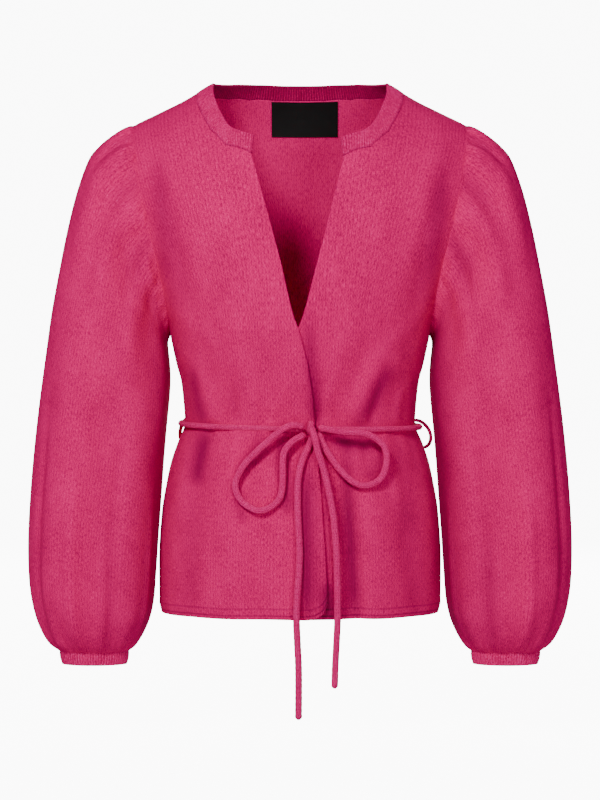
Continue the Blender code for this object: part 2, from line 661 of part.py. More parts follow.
def make_cuff(name, side):
    """Ribbed cuff, joined to the end of the sleeve."""
    top = sleeve_ring(SLEEVE_END, side)
    low = sleeve_ring(CUFF_END, side)
    drop = Vector((0.0, 0.0, -SEAM))
    outside, inside = [[], []], [[], []]
    samples = ribbed([p for p, n in top], [n for p, n in top], True)
    for i, s, point, along, normal, height, twist in samples:
        j = (i + 1) % SLEEVE_POINTS
        below = low[i][0].lerp(low[j][0], s)
        for row, spot in enumerate((point + drop, below)):
            outside[row].append(spot + normal * height)
            inside[row].append(spot - normal * WALL)
    return wall(name, outside, inside, RIB, ring=True)


def make_neckband(panels):
    """Ribbed stand along the neck seam, from one front edge round the back to the other."""
    reach = NECK_COLUMNS + 1
    ridge = FRONT_COLUMNS - NECK_COLUMNS
    right, left, back = (panels[k][-1] for k in ("right_front", "left_front", "back"))
    line = [(p, LAP_LIFT) for p in right[:reach]]
    line += [(p, 0.0) for p in back[ridge:BACK_COLUMNS - ridge + 1][::-1]]
    line += [(p, 0.0) for p in left[:reach][::-1]]
    points = [torso(*p, lift) for p, lift in line]
    normals = [torso_normal(*p, lift) for p, lift in line]
    outside, inside = [[], []], [[], []]
    for i, s, point, along, normal, height, twist in ribbed(points, normals, False):
        off = normal.cross(along)
        if off.z < 0.0:
            off.negate()
        width = BAND_FRONT + (BAND_BACK - BAND_FRONT) * ease(point.y, -0.02, 0.05)
        for row, up in enumerate((SEAM + WALL / 3 * twist, width)):
            middle = point + off * up
            outside[row].append(middle + normal * (WALL / 2 + height))
            inside[row].append(middle - normal * WALL / 2)
    return wall("neckband", outside, inside, RIB)


def smooth_route(points, spacing):
    """Points of a smooth curve through a route, about one spacing apart."""
    points = [Vector(p) for p in points]
    ends = [points[0] * 2 - points[1]] + points + [points[-1] * 2 - points[-2]]
    fine = []
    for a, b, c, d in zip(ends, ends[1:], ends[2:], ends[3:]):
        for k in range(12):
            s = k / 12
            fine.append(0.5 * (2 * b + (c - a) * s + (2 * a - 5 * b + 4 * c - d) * s * s
                               + (3 * b - 3 * c + d - a) * s ** 3))
    fine.append(points[-1])
    runs = [0.0]
    for p, q in zip(fine, fine[1:]):
        runs.append(runs[-1] + (q - p).length)
    count = max(4, int(round(runs[-1] / spacing)))
    route = []
    for k in range(count + 1):
        want = runs[-1] * k / count
        i = min(max(j for j in range(len(runs)) if runs[j] <= want + 1e-12), len(runs) - 2)
        s = (want - runs[i]) / max(1e-9, runs[i + 1] - runs[i])
        route.append(fine[i].lerp(fine[i + 1], s))
    return route


def from_knot(way):
    """Two places on the way a strand leaves the knot: its clear face, and a little further."""
    way = Vector(way).normalized()
    reach = 1.0 / math.sqrt(sum((w / r) ** 2 for w, r in zip(way, KNOT_HALF)))
    return [Vector(KNOT) + way * (reach + SEAM), Vector(KNOT) + way * (reach + 0.55 * CORD)]


def tube(name, points, diameter, lead=(), tail=()):
    """A cord of one diameter along a smooth route, with its own first and last places."""
    route = list(lead) + smooth_route(points, diameter * CORD_STEP) + list(tail)
    curve = bpy.data.curves.new(name, "CURVE")
    curve.dimensions = "3D"
    curve.bevel_depth = diameter / 2
    curve.bevel_resolution = 2
    curve.use_fill_caps = True
    spline = curve.splines.new("POLY")
    spline.points.add(len(route) - 1)
    for point, spot in zip(spline.points, route):
        point.co = (*spot, 1.0)
    return add_object(name, curve, BELT)


def surface_tree(objects):
    """One search tree over the faces of several panels."""
    points, faces = [], []
    for obj in objects:
        start = len(points)
        points += [v.co for v in obj.data.vertices]
        faces += [[start + i for i in p.vertices] for p in obj.data.polygons]
    return BVHTree.FromPolygons(points, faces)


def belt_height(angle):
    """Height of the tight belt at an angle round the waist from centre front."""
    return WAIST_Z - FRONT_DROP * math.cos(angle) - SIDE_DROP * math.sin(angle)


def make_belt(panels):
    """Belt round the waist, the knot, two bow loops and two free ends."""
    tree = surface_tree(panels)
    radius = WAIST_CORD / 2
    rays = []
    for k in range(BELT_RAYS + 1):
        angle = BELT_START + BELT_TURN * k / BELT_RAYS
        out = Vector((math.sin(angle) * BELT_OVAL, -math.cos(angle), 0.0)).normalized()
        height = belt_height(angle)
        reach = 0.0
        for z in (height - radius, height, height + radius):
            start = out * FAR_OUT + Vector((0.0, 0.0, z))
            run = tree.ray_cast(start, -out)[3]
            if run is not None:
                reach = max(reach, FAR_OUT - run)
        rays.append((out, height, reach))
    widest = [max(r[2] for r in rays[max(0, k - 1):k + 2]) for k in range(BELT_RAYS + 1)]
    route = []
    for k, (out, height, reach) in enumerate(rays):
        near = widest[max(0, k - 1):k + 2]
        route.append(out * (sum(near) / len(near) + radius + BELT_CLEAR) + Vector((0.0, 0.0, height)))
    tube("belt_waist", route, WAIST_CORD)
    bpy.ops.mesh.primitive_uv_sphere_add(segments=14, ring_count=9, radius=1.0)
    ball = bpy.context.object
    mesh = ball.data
    bpy.data.objects.remove(ball)
    for vertex in mesh.vertices:
        vertex.co = Vector(KNOT) + Vector(v * r for v, r in zip(vertex.co, KNOT_HALF))
    mesh.shade_smooth()
    add_object("belt_knot", mesh, BELT)
    for name, route, ways in (
            ("bow_loop_right", RIGHT_BOW, RIGHT_BOW_WAYS), ("bow_loop_left", LEFT_BOW, LEFT_BOW_WAYS)):
        tube(name, route, CORD, from_knot(ways[0]), from_knot(ways[1])[::-1])
    tube("belt_end_long", LONG_END, CORD, from_knot(LONG_END_WAY))
    tube("belt_end_short", SHORT_END, CORD, from_knot(SHORT_END_WAY))


def make_belt_loop(name, side, behind, stand, panels):
    """Thread loop beside a side seam that the belt runs through."""
    tree = surface_tree(panels)
    turn = math.radians(behind)
    out = Vector((side * math.cos(turn), math.sin(turn), 0.0))
    belt = belt_height(side * (math.pi / 2 + turn))
    middle = belt + (LOOP_UP - LOOP_DOWN) / 2
    seats = []
    for height in (belt + LOOP_UP, middle, belt - LOOP_DOWN):
        seats.append(tree.ray_cast(out * FAR_OUT + Vector((0.0, 0.0, height)), -out)[:2])
    (top, top_way), (side_at, side_way), (low, low_way) = seats
    up = Vector((0.0, 0.0, 1.0))
    route = (
        side_at + side_way * (stand - 0.0022) + up * 0.0145, side_at + side_way * stand + up * 0.0050,
        side_at + side_way * (stand + 0.0012) - up * 0.0050, low + low_way * 0.0080 + up * 0.0034,
    )
    lead = (top + top_way * LOOP_SEAT, top + top_way * 0.4 * stand)
    tail = (low + low_way * 0.0036, low + low_way * LOOP_SEAT)
    tube(name, route, LOOP_CORD, lead, tail)


def make_label(back):
    """Plain label on the inner face of the back, made from that face's own points."""
    tree = surface_tree([back])
    columns, rows = 8, 4
    near, far = [], []
    for r in range(rows + 1):
        near.append([])
        far.append([])
        for c in range(columns + 1):
            x = LABEL_CENTRE[0] + LABEL_SIZE[0] * (c / columns - 0.5)
            z = LABEL_CENTRE[1] + LABEL_SIZE[1] * (r / rows - 0.5)
            hit, normal = tree.ray_cast(Vector((x, -0.02, z)), Vector((0.0, 1.0, 0.0)))[:2]
            near[-1].append(hit + Vector((0.0, -SEAM, 0.0)))
            far[-1].append(hit + Vector((0.0, -SEAM - LABEL_THICK, 0.0)))
    return wall("label", far, near, BLACK)


GARMENT = bpy.data.collections.new("wrap_cardigan")


def main():
    clear_scene()
    bpy.context.scene.collection.children.link(GARMENT)
    panels = make_body()
    make_neckband(panels)
    for side, name in ((-1, "right"), (1, "left")):
        make_sleeve("sleeve_" + name, side)
        make_cuff("cuff_" + name, side)
    cloth = [bpy.data.objects[name] for name in panels]
    make_belt(cloth)
    for name, side, behind, stand in BELT_LOOPS:
        make_belt_loop("belt_loop_" + name, side, behind, stand, cloth)
    make_label(bpy.data.objects["back"])


main()
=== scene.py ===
"""Look of the knitted wrap cardigan: brushed knit panels, ribbed edges, belt and bow.

Metres, +Z up, front to -Y, the wearer's left to +X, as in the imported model.
"""
import math

import bmesh
import bpy
import numpy as np
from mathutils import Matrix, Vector


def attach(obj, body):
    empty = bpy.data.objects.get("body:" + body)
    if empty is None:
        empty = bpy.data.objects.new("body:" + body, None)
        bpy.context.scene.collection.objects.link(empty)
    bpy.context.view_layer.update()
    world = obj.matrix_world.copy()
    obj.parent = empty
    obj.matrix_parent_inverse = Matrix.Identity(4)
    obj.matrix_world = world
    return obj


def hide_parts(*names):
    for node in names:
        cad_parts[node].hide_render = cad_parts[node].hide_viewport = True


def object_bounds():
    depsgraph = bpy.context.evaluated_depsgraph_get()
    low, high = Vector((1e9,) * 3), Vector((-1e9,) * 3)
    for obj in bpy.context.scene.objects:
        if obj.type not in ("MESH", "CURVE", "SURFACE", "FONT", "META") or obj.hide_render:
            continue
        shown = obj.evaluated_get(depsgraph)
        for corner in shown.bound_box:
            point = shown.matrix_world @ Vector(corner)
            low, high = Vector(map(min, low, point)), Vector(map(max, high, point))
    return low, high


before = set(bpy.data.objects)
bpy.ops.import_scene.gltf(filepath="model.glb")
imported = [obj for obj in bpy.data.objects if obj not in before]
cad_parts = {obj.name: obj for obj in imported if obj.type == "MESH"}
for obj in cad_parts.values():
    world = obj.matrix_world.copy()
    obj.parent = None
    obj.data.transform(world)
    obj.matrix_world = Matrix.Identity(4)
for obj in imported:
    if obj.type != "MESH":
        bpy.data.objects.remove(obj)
CAD_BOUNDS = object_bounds()

bl_info = {
    "name": "Knitted wrap cardigan",
    "version": (1, 0, 0),
    "blender": (4, 5, 0),
    "location": "View3D > Sidebar > Cardigan",
    "description": "Dresses the packed cardigan with brushed knit, ribs, a tie belt and studio light",
    "category": "Object",
}

# Driving sizes, the same as the solids' down to the clearance of a belt loop's ends
WALL = 0.0026            # thickness of the knitted cloth
SEAM = 0.0003            # gap left between two pieces at a seam
HEM_Z = -0.597           # height of the hem
UNDERARM_Z = -0.285      # height of the underarm
WAIST_Z = -0.388         # height of the tie belt
SIDE_POWER = 2.3         # squareness of the body's sections
RIDGE_POWER = 3.0        # how late the shoulder turns over its ridge
RIDGE_SHIFT = 0.00085    # part of a level that each panel stops short of the ridge
SHOULDER_X = 0.188       # half distance between the shoulder points
NECK_X = 0.117           # half distance between the neckband's seams at the sides
LAP_LIFT = 0.0056        # how far the lapping front stands out over the other
CORNER = (0.024, 0.016)  # width and height of the rounding of the lapping front's corner
BAND_FRONT = 0.0225      # width of the neckband at the fronts
BAND_BACK = 0.0175       # width of the neckband at the back of the neck
RIB_PITCH = 0.0031       # distance from one rib to the next
CORD = 0.0072            # diameter of the belt's free ends and bow
WAIST_CORD = 0.0062      # diameter of the belt where it is pulled tight
LOOP_CORD = 0.0034       # diameter of the belt loops' thread
LOOP_UP = 0.0090         # height of a belt loop's upper end over the belt
LOOP_DOWN = 0.0250       # depth of a belt loop's lower end under the belt
LOOP_SEAT = 0.0004       # clearance of a belt loop's ends to the cloth
# The knot's wrap and the loops' thread, finer than the solids'
KNOT_CORD = 0.0066       # diameter of the belt where it wraps round the knot
LOOP_TOP = LOOP_UP - 0.0020         # height over the belt where the thread itself ends
LOOP_THREAD = 1.2 * LOOP_CORD       # diameter of the thread with its nap
LOOP_NEAR = 0.0022       # least distance of a loop's middle from the cloth
LOOP_STAND = 0.72        # part of its stand that is added to that
LOOP_STEPS = 12          # places along a loop's thread
# Belt loops: side, degrees behind the side seam, how far the loop stands off the cloth
BELT_LOOPS = (("right", -1, 17.0, 0.0108), ("left", 1, 4.5, 0.0140))

# Columns and rows of the panels' own places
FRONT_COLUMNS = 12
NECK_COLUMNS = 7
RIDGE_COLUMNS = FRONT_COLUMNS - NECK_COLUMNS
NECK_SHARE = 0.68        # part of a front's width that its neck columns take
FRONT_SHARES = [NECK_SHARE * k / NECK_COLUMNS for k in range(NECK_COLUMNS + 1)]
FRONT_SHARES += [NECK_SHARE + (1 - NECK_SHARE) * k / RIDGE_COLUMNS for k in range(1, RIDGE_COLUMNS + 1)]
NECK_SAMPLES = 16        # steps along a front's neck seam
NECK_CROWD = 1.5         # how much its columns crowd toward the shoulder
NECK_DROP = 0.0006       # how far the back's neck begins under the ridge
FRONT_DECAY = 3.0        # how soon below the neck a front's rows lie evenly
BACK_COLUMNS = 22
BODY_HEIGHTS = (-0.597, -0.562, -0.524, -0.484, -0.448, -0.420, -0.402, -0.3885, -0.375,
                -0.352, -0.320, -0.285)
BODY_ROWS = len(BODY_HEIGHTS) - 1
ARM_ROWS = 12
ROWS = BODY_ROWS + ARM_ROWS
SLEEVE_POINTS = 2 * ARM_ROWS
FINE = 7                 # fine cells of cloth along each side of a coarse one

# Body below the underarm, outside sizes: height, half width, depth in front, depth behind
BODY = (
    (-0.5970, 0.1555, 0.1180, 0.1120),
    (-0.5850, 0.1585, 0.1200, 0.1150),
    (-0.5400, 0.1590, 0.1220, 0.1180),
    (-0.4870, 0.1560, 0.1190, 0.1170),
    (-0.4500, 0.1500, 0.1140, 0.1130),
    (-0.4280, 0.1450, 0.1090, 0.1080),
    (-0.4090, 0.1385, 0.1030, 0.1030),
    (-0.3850, 0.1300, 0.0970, 0.0970),
    (-0.3600, 0.1317, 0.1010, 0.1000),
    (-0.3370, 0.1345, 0.1060, 0.1030),
    (-0.3210, 0.1390, 0.1090, 0.1050),
    (-0.2850, 0.1468, 0.1150, 0.1080),
)

# Body above the underarm: share of the way up, half width, depth in front, depth behind
YOKE = (
    (0.000, 0.1468, 0.1150, 0.1080),
    (0.030, 0.1481, 0.1153, 0.1083),
    (0.117, 0.1556, 0.1160, 0.1090),
    (0.250, 0.1700, 0.1165, 0.1100),
    (0.413, 0.1893, 0.1160, 0.1110),
    (0.587, 0.2085, 0.1145, 0.1120),
    (0.750, 0.2220, 0.1120, 0.1120),
    (0.883, 0.2320, 0.1100, 0.1120),
    (1.000, 0.2360, 0.1080, 0.1120),
)

# Line along the top of the shoulder: distance from the centre, height
RIDGE = (
    (0.000, 0.055), (0.050, 0.038), (0.100, -0.0040), (0.129, -0.0226),
    (0.160, -0.0380), (0.188, -0.0520), (0.220, -0.0760),
)

# Armhole seam: share of the way up, distance from the centre
ARMHOLE = (
    (0.000, 0.1468), (0.030, 0.1466), (0.117, 0.1492), (0.250, 0.1555), (0.413, 0.1645),
    (0.587, 0.1740), (0.750, 0.1812), (0.883, 0.1855), (1.000, 0.1880),
)

# Edge of the lapping right front, hem to neckband: height, distance from the centre
RIGHT_EDGE = (
    (-0.5970, 0.0288), (-0.5760, 0.0288), (-0.4896, 0.0243), (-0.3890, 0.0160),
    (-0.3400, 0.0115), (-0.3110, 0.0060), (-0.2820, -0.0022), (-0.2693, -0.0070),
    (-0.2099, -0.0210), (-0.1494, -0.0373), (-0.0922, -0.0528),
)

# Edge of the left front under it, hem to neckband: height, distance from the centre
LEFT_EDGE = (
    (-0.5970, -0.0280), (-0.5760, -0.0280), (-0.4896, -0.0240), (-0.3890, -0.0170),
    (-0.3400, -0.0130), (-0.2820, -0.0022), (-0.2693, 0.0030), (-0.2260, 0.0146),
    (-0.1890, 0.0243), (-0.1370, 0.0373), (-0.0950, 0.0474),
)

# Neckband seam on a front, front edge to shoulder: distance from the centre, height
NECK_SEAM = ((0.0803, -0.0825), (0.0950, -0.0686), (0.1085, -0.0450))
NECK_SEAM_END = (0.1150, -0.0300)
BACK_NECK_Z = -0.0120    # height of the neckband seam at centre back

# Sleeve below the shoulder: outer x, outer z, inner x, inner z, half depth, forward shift
SLEEVE = (
    (0.2000, -0.0545, 0.1482, -0.2890, 0.0660, 0.000),
    (0.2145, -0.0630, 0.1496, -0.2935, 0.0655, 0.000),
    (0.2265, -0.0735, 0.1498, -0.2990, 0.0650, 0.001),
    (0.2370, -0.0865, 0.1492, -0.3050, 0.0645, 0.002),
    (0.2465, -0.1107, 0.1482, -0.3120, 0.0640, 0.004),
    (0.2545, -0.1380, 0.1472, -0.3200, 0.0640, 0.006),
    (0.2625, -0.1730, 0.1462, -0.3310, 0.0645, 0.009),
    (0.2700, -0.2120, 0.1460, -0.3450, 0.0655, 0.012),
    (0.2785, -0.2600, 0.1472, -0.3650, 0.0670, 0.015),
    (0.2855, -0.3120, 0.1496, -0.3920, 0.0685, 0.018),
    (0.2920, -0.3620, 0.1525, -0.4280, 0.0700, 0.020),
    (0.2975, -0.4130, 0.1553, -0.4700, 0.0715, 0.022),
    (0.3018, -0.4650, 0.1583, -0.5120, 0.0725, 0.023),
    (0.3042, -0.5150, 0.1606, -0.5500, 0.0720, 0.024),
    (0.3032, -0.5580, 0.1630, -0.5820, 0.0690, 0.024),
    (0.2985, -0.5880, 0.1675, -0.6030, 0.0630, 0.025),
    (0.2910, -0.6120, 0.1745, -0.6195, 0.0530, 0.025),
    (0.2810, -0.6290, 0.1830, -0.6320, 0.0410, 0.026),
)
SLEEVE_END = (0.2690, -0.6400, 0.1912, -0.6400, 0.0275, 0.026)
CUFF_END = (0.2660, -0.6545, 0.1935, -0.6545, 0.0260, 0.026)

# Large soft folds of the body: side, x and z at the start, x and z at the end,
# half width, height outward (a trough is below zero)
BODY_FOLDS = (
    ("front", -0.122, -0.320, -0.100, -0.384, 0.015, 0.0050),
    ("front", -0.094, -0.330, -0.080, -0.384, 0.014, -0.0030),
    ("front", -0.096, -0.400, -0.110, -0.460, 0.015, -0.0045),
    ("front", -0.124, -0.400, -0.134, -0.500, 0.015, 0.0040),
    ("front", -0.034, -0.320, -0.022, -0.384, 0.015, -0.0035),
    ("front", 0.100, -0.310, 0.056, -0.384, 0.017, 0.0060),
    ("front", 0.074, -0.310, 0.036, -0.384, 0.015, -0.0050),
    ("front", 0.014, -0.440, 0.012, -0.590, 0.014, 0.0045),
    ("front", 0.044, -0.420, 0.060, -0.597, 0.016, -0.0065),
    ("front", 0.076, -0.430, 0.092, -0.597, 0.022, 0.0050),
    ("front", -0.044, -0.420, -0.040, -0.597, 0.022, -0.0045),
    ("front", -0.080, -0.460, -0.088, -0.597, 0.024, 0.0035),
    ("front", -0.152, -0.080, -0.140, -0.200, 0.018, 0.0045),
    ("front", 0.150, -0.080, 0.138, -0.200, 0.018, 0.0045),
    ("back", -0.060, -0.300, -0.048, -0.384, 0.018, 0.0055),
    ("back", 0.066, -0.290, 0.044, -0.384, 0.019, 0.0060),
    ("back", 0.004, -0.320, 0.002, -0.384, 0.018, -0.0045),
    ("back", -0.054, -0.400, -0.074, -0.590, 0.022, 0.0060),
    ("back", 0.020, -0.400, 0.026, -0.590, 0.020, -0.0055),
    ("back", 0.066, -0.405, 0.088, -0.590, 0.022, 0.0055),
    ("back", -0.014, -0.410, -0.024, -0.560, 0.018, 0.0035),
)

# Soft folds of a sleeve: angle round it, share of its length at start and end,
# half width of the angle, height outward
SLEEVE_FOLDS = (
    (45.0, 0.00, 0.42, 12.0, 0.0060),
    (60.0, 0.00, 0.30, 10.0, -0.0045),
    (75.0, 0.00, 0.46, 12.0, 0.0065),
    (90.0, 0.00, 0.34, 10.0, -0.0050),
    (108.0, 0.00, 0.52, 12.0, 0.0065),
    (128.0, 0.14, 0.44, 12.0, -0.0045),
    (150.0, 0.22, 0.60, 13.0, 0.0040),
    (225.0, 0.14, 0.50, 14.0, 0.0045),
    (246.0, 0.00, 0.36, 11.0, -0.0050),
    (266.0, 0.00, 0.48, 12.0, 0.0060),
    (285.0, 0.00, 0.32, 10.0, -0.0045),
    (303.0, 0.00, 0.42, 12.0, 0.0055),
    (62.0, 0.46, 0.92, 18.0, 0.0055),
    (98.0, 0.50, 0.90, 16.0, -0.0060),
    (134.0, 0.50, 0.94, 18.0, 0.0050),
    (230.0, 0.48, 0.92, 18.0, 0.0050),
    (268.0, 0.50, 0.90, 18.0, -0.0050),
    (310.0, 0.46, 0.92, 20.0, 0.0050),
)
GATHER_DEPTH = 0.0034    # height of the gathers over the cuff
UNDERARM_EASE = 0.0009   # extra room where a sleeve passes over the side seam

# Tie belt: the knot's middle and half its sizes
KNOT = (0.0118, -0.1112, -0.3910)
KNOT_HALF = (0.0085, 0.0070, 0.0080)
# Ways that the six strands leave the knot
RIGHT_BOW_WAYS = ((-0.92, -0.40, 0.24), (-0.75, -0.25, -0.62))
LEFT_BOW_WAYS = ((0.93, -0.35, 0.05), (0.75, -0.20, -0.63))
LONG_END_WAY = (0.02, -0.05, -1.00)
SHORT_END_WAY = (0.15, -0.98, -0.10)
BELT_START = math.radians(0.8)      # where the tight belt leaves the knot, from centre front
BELT_TURN = math.radians(-352.0)    # how far it goes round to reach the knot again
BELT_OVAL = 1.3          # how much wider than deep the waist is
BELT_CLEAR = 0.0012      # gap from the tight belt to the cloth
BELT_STEPS = 40          # places along the tight belt's route
LAP_ANGLE = 0.25         # how far round from centre front the belt lies on the lapping front
FRONT_DROP = 0.0035      # how far the belt hangs lower in front than at the sides
SIDE_DROP = 0.0020       # how far it hangs lower on the left than on the right
WRAP_STEPS = 14          # places along the wrap of the knot
WRAP_START = 200.0       # degrees round the knot where the wrap begins
WRAP_TURN = 385.0        # degrees that it goes round
WRAP_SLANT = 0.0040      # how far it moves sideways meanwhile
WRAP_DEEP = 0.0040       # its reach in front of the knot's middle
WRAP_HIGH = 0.0058       # its reach over the knot's middle
# Routes of the bow and its ends: x, y and z of each point
RIGHT_BOW = (
    (-0.0080, -0.1188, -0.3870), (-0.0190, -0.1188, -0.3915),
    (-0.0375, -0.1180, -0.4070), (-0.0575, -0.1170, -0.4265), (-0.0675, -0.1175, -0.4430),
    (-0.0695, -0.1185, -0.4560), (-0.0620, -0.1215, -0.4700), (-0.0460, -0.1240, -0.4790),
    (-0.0320, -0.1245, -0.4755), (-0.0215, -0.1245, -0.4650), (-0.0185, -0.1240, -0.4480),
    (-0.0185, -0.1230, -0.4280), (-0.0165, -0.1215, -0.4150), (-0.0075, -0.1190, -0.4045),
)
LEFT_BOW = (
    (0.0330, -0.1155, -0.3920), (0.0480, -0.1145, -0.3945),
    (0.0700, -0.1120, -0.3960), (0.0860, -0.1095, -0.4045), (0.0935, -0.1085, -0.4165),
    (0.0925, -0.1090, -0.4340), (0.0850, -0.1110, -0.4470), (0.0705, -0.1140, -0.4525),
    (0.0565, -0.1165, -0.4480), (0.0420, -0.1175, -0.4340), (0.0300, -0.1165, -0.4170),
    (0.0245, -0.1150, -0.4070),
)
LONG_END = (
    (0.0085, -0.1150, -0.4120), (0.0025, -0.1205, -0.4250),
    (-0.0020, -0.1262, -0.4450), (-0.0026, -0.1296, -0.4700), (-0.0018, -0.1318, -0.4950),
    (-0.0005, -0.1336, -0.5200), (-0.0012, -0.1346, -0.5450), (-0.0030, -0.1350, -0.5700),
    (-0.0038, -0.1350, -0.5950), (-0.0028, -0.1346, -0.6200), (-0.0016, -0.1344, -0.6450),
    (-0.0014, -0.1343, -0.6700), (-0.0016, -0.1343, -0.7030),
)
SHORT_END = (
    (0.0165, -0.1275, -0.4020), (0.0185, -0.1280, -0.4120), (0.0225, -0.1275, -0.4250),
    (0.0275, -0.1255, -0.4420), (0.0315, -0.1268, -0.4600), (0.0350, -0.1280, -0.4780),
    (0.0375, -0.1294, -0.5000), (0.0392, -0.1304, -0.5250), (0.0400, -0.1310, -0.5500),
    (0.0405, -0.1310, -0.5750), (0.0402, -0.1306, -0.6000), (0.0390, -0.1302, -0.6250),
    (0.0378, -0.1300, -0.6480), (0.0372, -0.1299, -0.6700),
)

# Finer creases of the body, laid over the folds: side, x and z at the start, x and z at
# the end, half width, height outward
BODY_CREASES = (
    ("front", -0.105, -0.335, -0.092, -0.386, 0.0060, 0.0016),
    ("front", -0.074, -0.345, -0.066, -0.386, 0.0055, -0.0012),
    ("front", -0.052, -0.352, -0.046, -0.386, 0.0050, 0.0012),
    ("front", -0.008, -0.345, -0.004, -0.384, 0.0055, 0.0013),
    ("front", 0.022, -0.340, 0.020, -0.386, 0.0060, -0.0014),
    ("front", 0.090, -0.330, 0.074, -0.386, 0.0060, -0.0015),
    ("front", 0.112, -0.350, 0.104, -0.386, 0.0055, 0.0014),
    ("front", -0.098, -0.392, -0.112, -0.440, 0.0060, -0.0016),
    ("front", -0.070, -0.392, -0.076, -0.470, 0.0065, 0.0014),
    ("front", -0.046, -0.392, -0.050, -0.430, 0.0050, -0.0012),
    ("front", 0.066, -0.392, 0.074, -0.450, 0.0060, -0.0014),
    ("front", 0.092, -0.392, 0.106, -0.470, 0.0065, 0.0016),
    ("front", 0.118, -0.392, 0.128, -0.440, 0.0055, -0.0012),
    ("front", 0.030, -0.400, 0.034, -0.590, 0.0080, 0.0016),
    ("front", 0.052, -0.470, 0.064, -0.597, 0.0075, -0.0016),
    ("front", -0.112, -0.470, -0.120, -0.597, 0.0110, -0.0014),
    ("front", 0.112, -0.480, 0.126, -0.597, 0.0110, -0.0014),
    ("front", -0.148, -0.130, -0.120, -0.250, 0.0090, -0.0014),
    ("front", 0.150, -0.130, 0.124, -0.250, 0.0090, -0.0014),
    ("front", -0.140, -0.262, -0.092, -0.300, 0.0080, 0.0013),
    ("front", 0.142, -0.258, 0.098, -0.300, 0.0080, 0.0014),
    ("back", -0.100, -0.335, -0.086, -0.386, 0.0060, 0.0016),
    ("back", -0.030, -0.340, -0.026, -0.386, 0.0060, 0.0014),
    ("back", 0.024, -0.345, 0.022, -0.386, 0.0055, -0.0013),
    ("back", 0.088, -0.330, 0.078, -0.386, 0.0060, -0.0015),
    ("back", -0.092, -0.392, -0.106, -0.450, 0.0060, -0.0015),
    ("back", -0.036, -0.392, -0.044, -0.480, 0.0065, -0.0014),
    ("back", 0.044, -0.392, 0.052, -0.470, 0.0060, 0.0014),
    ("back", 0.104, -0.392, 0.118, -0.460, 0.0060, -0.0014),
    ("back", -0.104, -0.470, -0.118, -0.597, 0.0110, 0.0015),
    ("back", 0.116, -0.480, 0.126, -0.597, 0.0110, -0.0014),
    ("back", -0.150, -0.120, -0.118, -0.250, 0.0090, 0.0014),
    ("back", 0.150, -0.120, 0.122, -0.240, 0.0090, -0.0014),
)

# Finer creases of a sleeve: angle, share of the length at start and end, half width, height
SLEEVE_CREASES = (
    (20.0, 0.00, 0.16, 4.0, 0.0018), (32.0, 0.00, 0.24, 4.5, -0.0022), (52.0, 0.00, 0.20, 4.5, 0.0018),
    (68.0, 0.00, 0.28, 4.5, -0.0022), (84.0, 0.00, 0.22, 4.5, 0.0020), (99.0, 0.02, 0.40, 5.0, -0.0022),
    (116.0, 0.03, 0.34, 5.0, 0.0018), (340.0, 0.00, 0.18, 4.0, 0.0018), (327.0, 0.00, 0.24, 4.5, -0.0020),
    (312.0, 0.00, 0.20, 4.0, 0.0018), (294.0, 0.00, 0.30, 4.5, -0.0020), (276.0, 0.00, 0.22, 4.5, 0.0020),
    (257.0, 0.02, 0.36, 5.0, -0.0020), (238.0, 0.04, 0.32, 5.0, 0.0016), (40.0, 0.60, 0.96, 5.5, -0.0020),
    (76.0, 0.66, 0.97, 5.0, 0.0022), (112.0, 0.58, 0.95, 5.5, -0.0018), (150.0, 0.66, 0.97, 5.0, 0.0018),
    (208.0, 0.64, 0.96, 5.5, -0.0018), (248.0, 0.60, 0.96, 5.5, 0.0020), (286.0, 0.66, 0.97, 5.0, -0.0020),
    (330.0, 0.60, 0.96, 5.5, 0.0018),
)

# Painted shade of the body, darker colour where shade falls: in deep folds, under the bow and belt and
# toward the sleeves; laid out as the creases are, with how dark in place of the height
BODY_PAINTED_SHADE = (
    ("front", -0.118, -0.330, -0.106, -0.384, 0.0080, 0.55),
    ("front", -0.106, -0.398, -0.113, -0.452, 0.0110, 0.60),
    ("front", 0.010, -0.285, 0.016, -0.384, 0.0075, 0.55),
    ("front", 0.064, -0.384, 0.100, -0.326, 0.0085, 0.45),
    ("front", 0.009, -0.430, 0.010, -0.585, 0.0120, 0.45),
    ("front", 0.050, -0.415, 0.058, -0.590, 0.0090, 0.55),
    ("front", 0.028, -0.560, 0.030, -0.597, 0.0090, 0.60),
    ("front", 0.029, -0.440, 0.031, -0.592, 0.0045, 0.50),
    ("front", 0.006, -0.450, 0.007, -0.592, 0.0050, 0.35),
    ("front", -0.020, -0.398, -0.014, -0.480, 0.0080, 0.60),
    ("front", -0.066, -0.440, -0.034, -0.408, 0.0085, 0.45),
    ("front", -0.074, -0.450, -0.060, -0.490, 0.0070, 0.40),
    ("front", 0.030, -0.404, 0.080, -0.412, 0.0080, 0.50),
    ("front", 0.088, -0.420, 0.078, -0.448, 0.0080, 0.40),
    ("front", 0.100, -0.420, 0.118, -0.500, 0.0120, 0.20),
    ("front", -0.142, -0.230, -0.146, -0.330, 0.0120, 0.25),
    ("front", 0.146, -0.230, 0.150, -0.330, 0.0120, 0.25),
    ("front", -0.156, -0.110, -0.146, -0.225, 0.0100, 0.35),
    ("front", 0.156, -0.110, 0.146, -0.225, 0.0100, 0.35),
    ("back", -0.100, -0.335, -0.086, -0.386, 0.0080, 0.35),
    ("back", 0.088, -0.330, 0.078, -0.386, 0.0080, 0.40),
    ("back", -0.036, -0.396, -0.044, -0.480, 0.0085, 0.40),
    ("back", 0.104, -0.396, 0.118, -0.460, 0.0085, 0.40),
    ("back", -0.116, -0.396, -0.130, -0.470, 0.0090, 0.40),
)
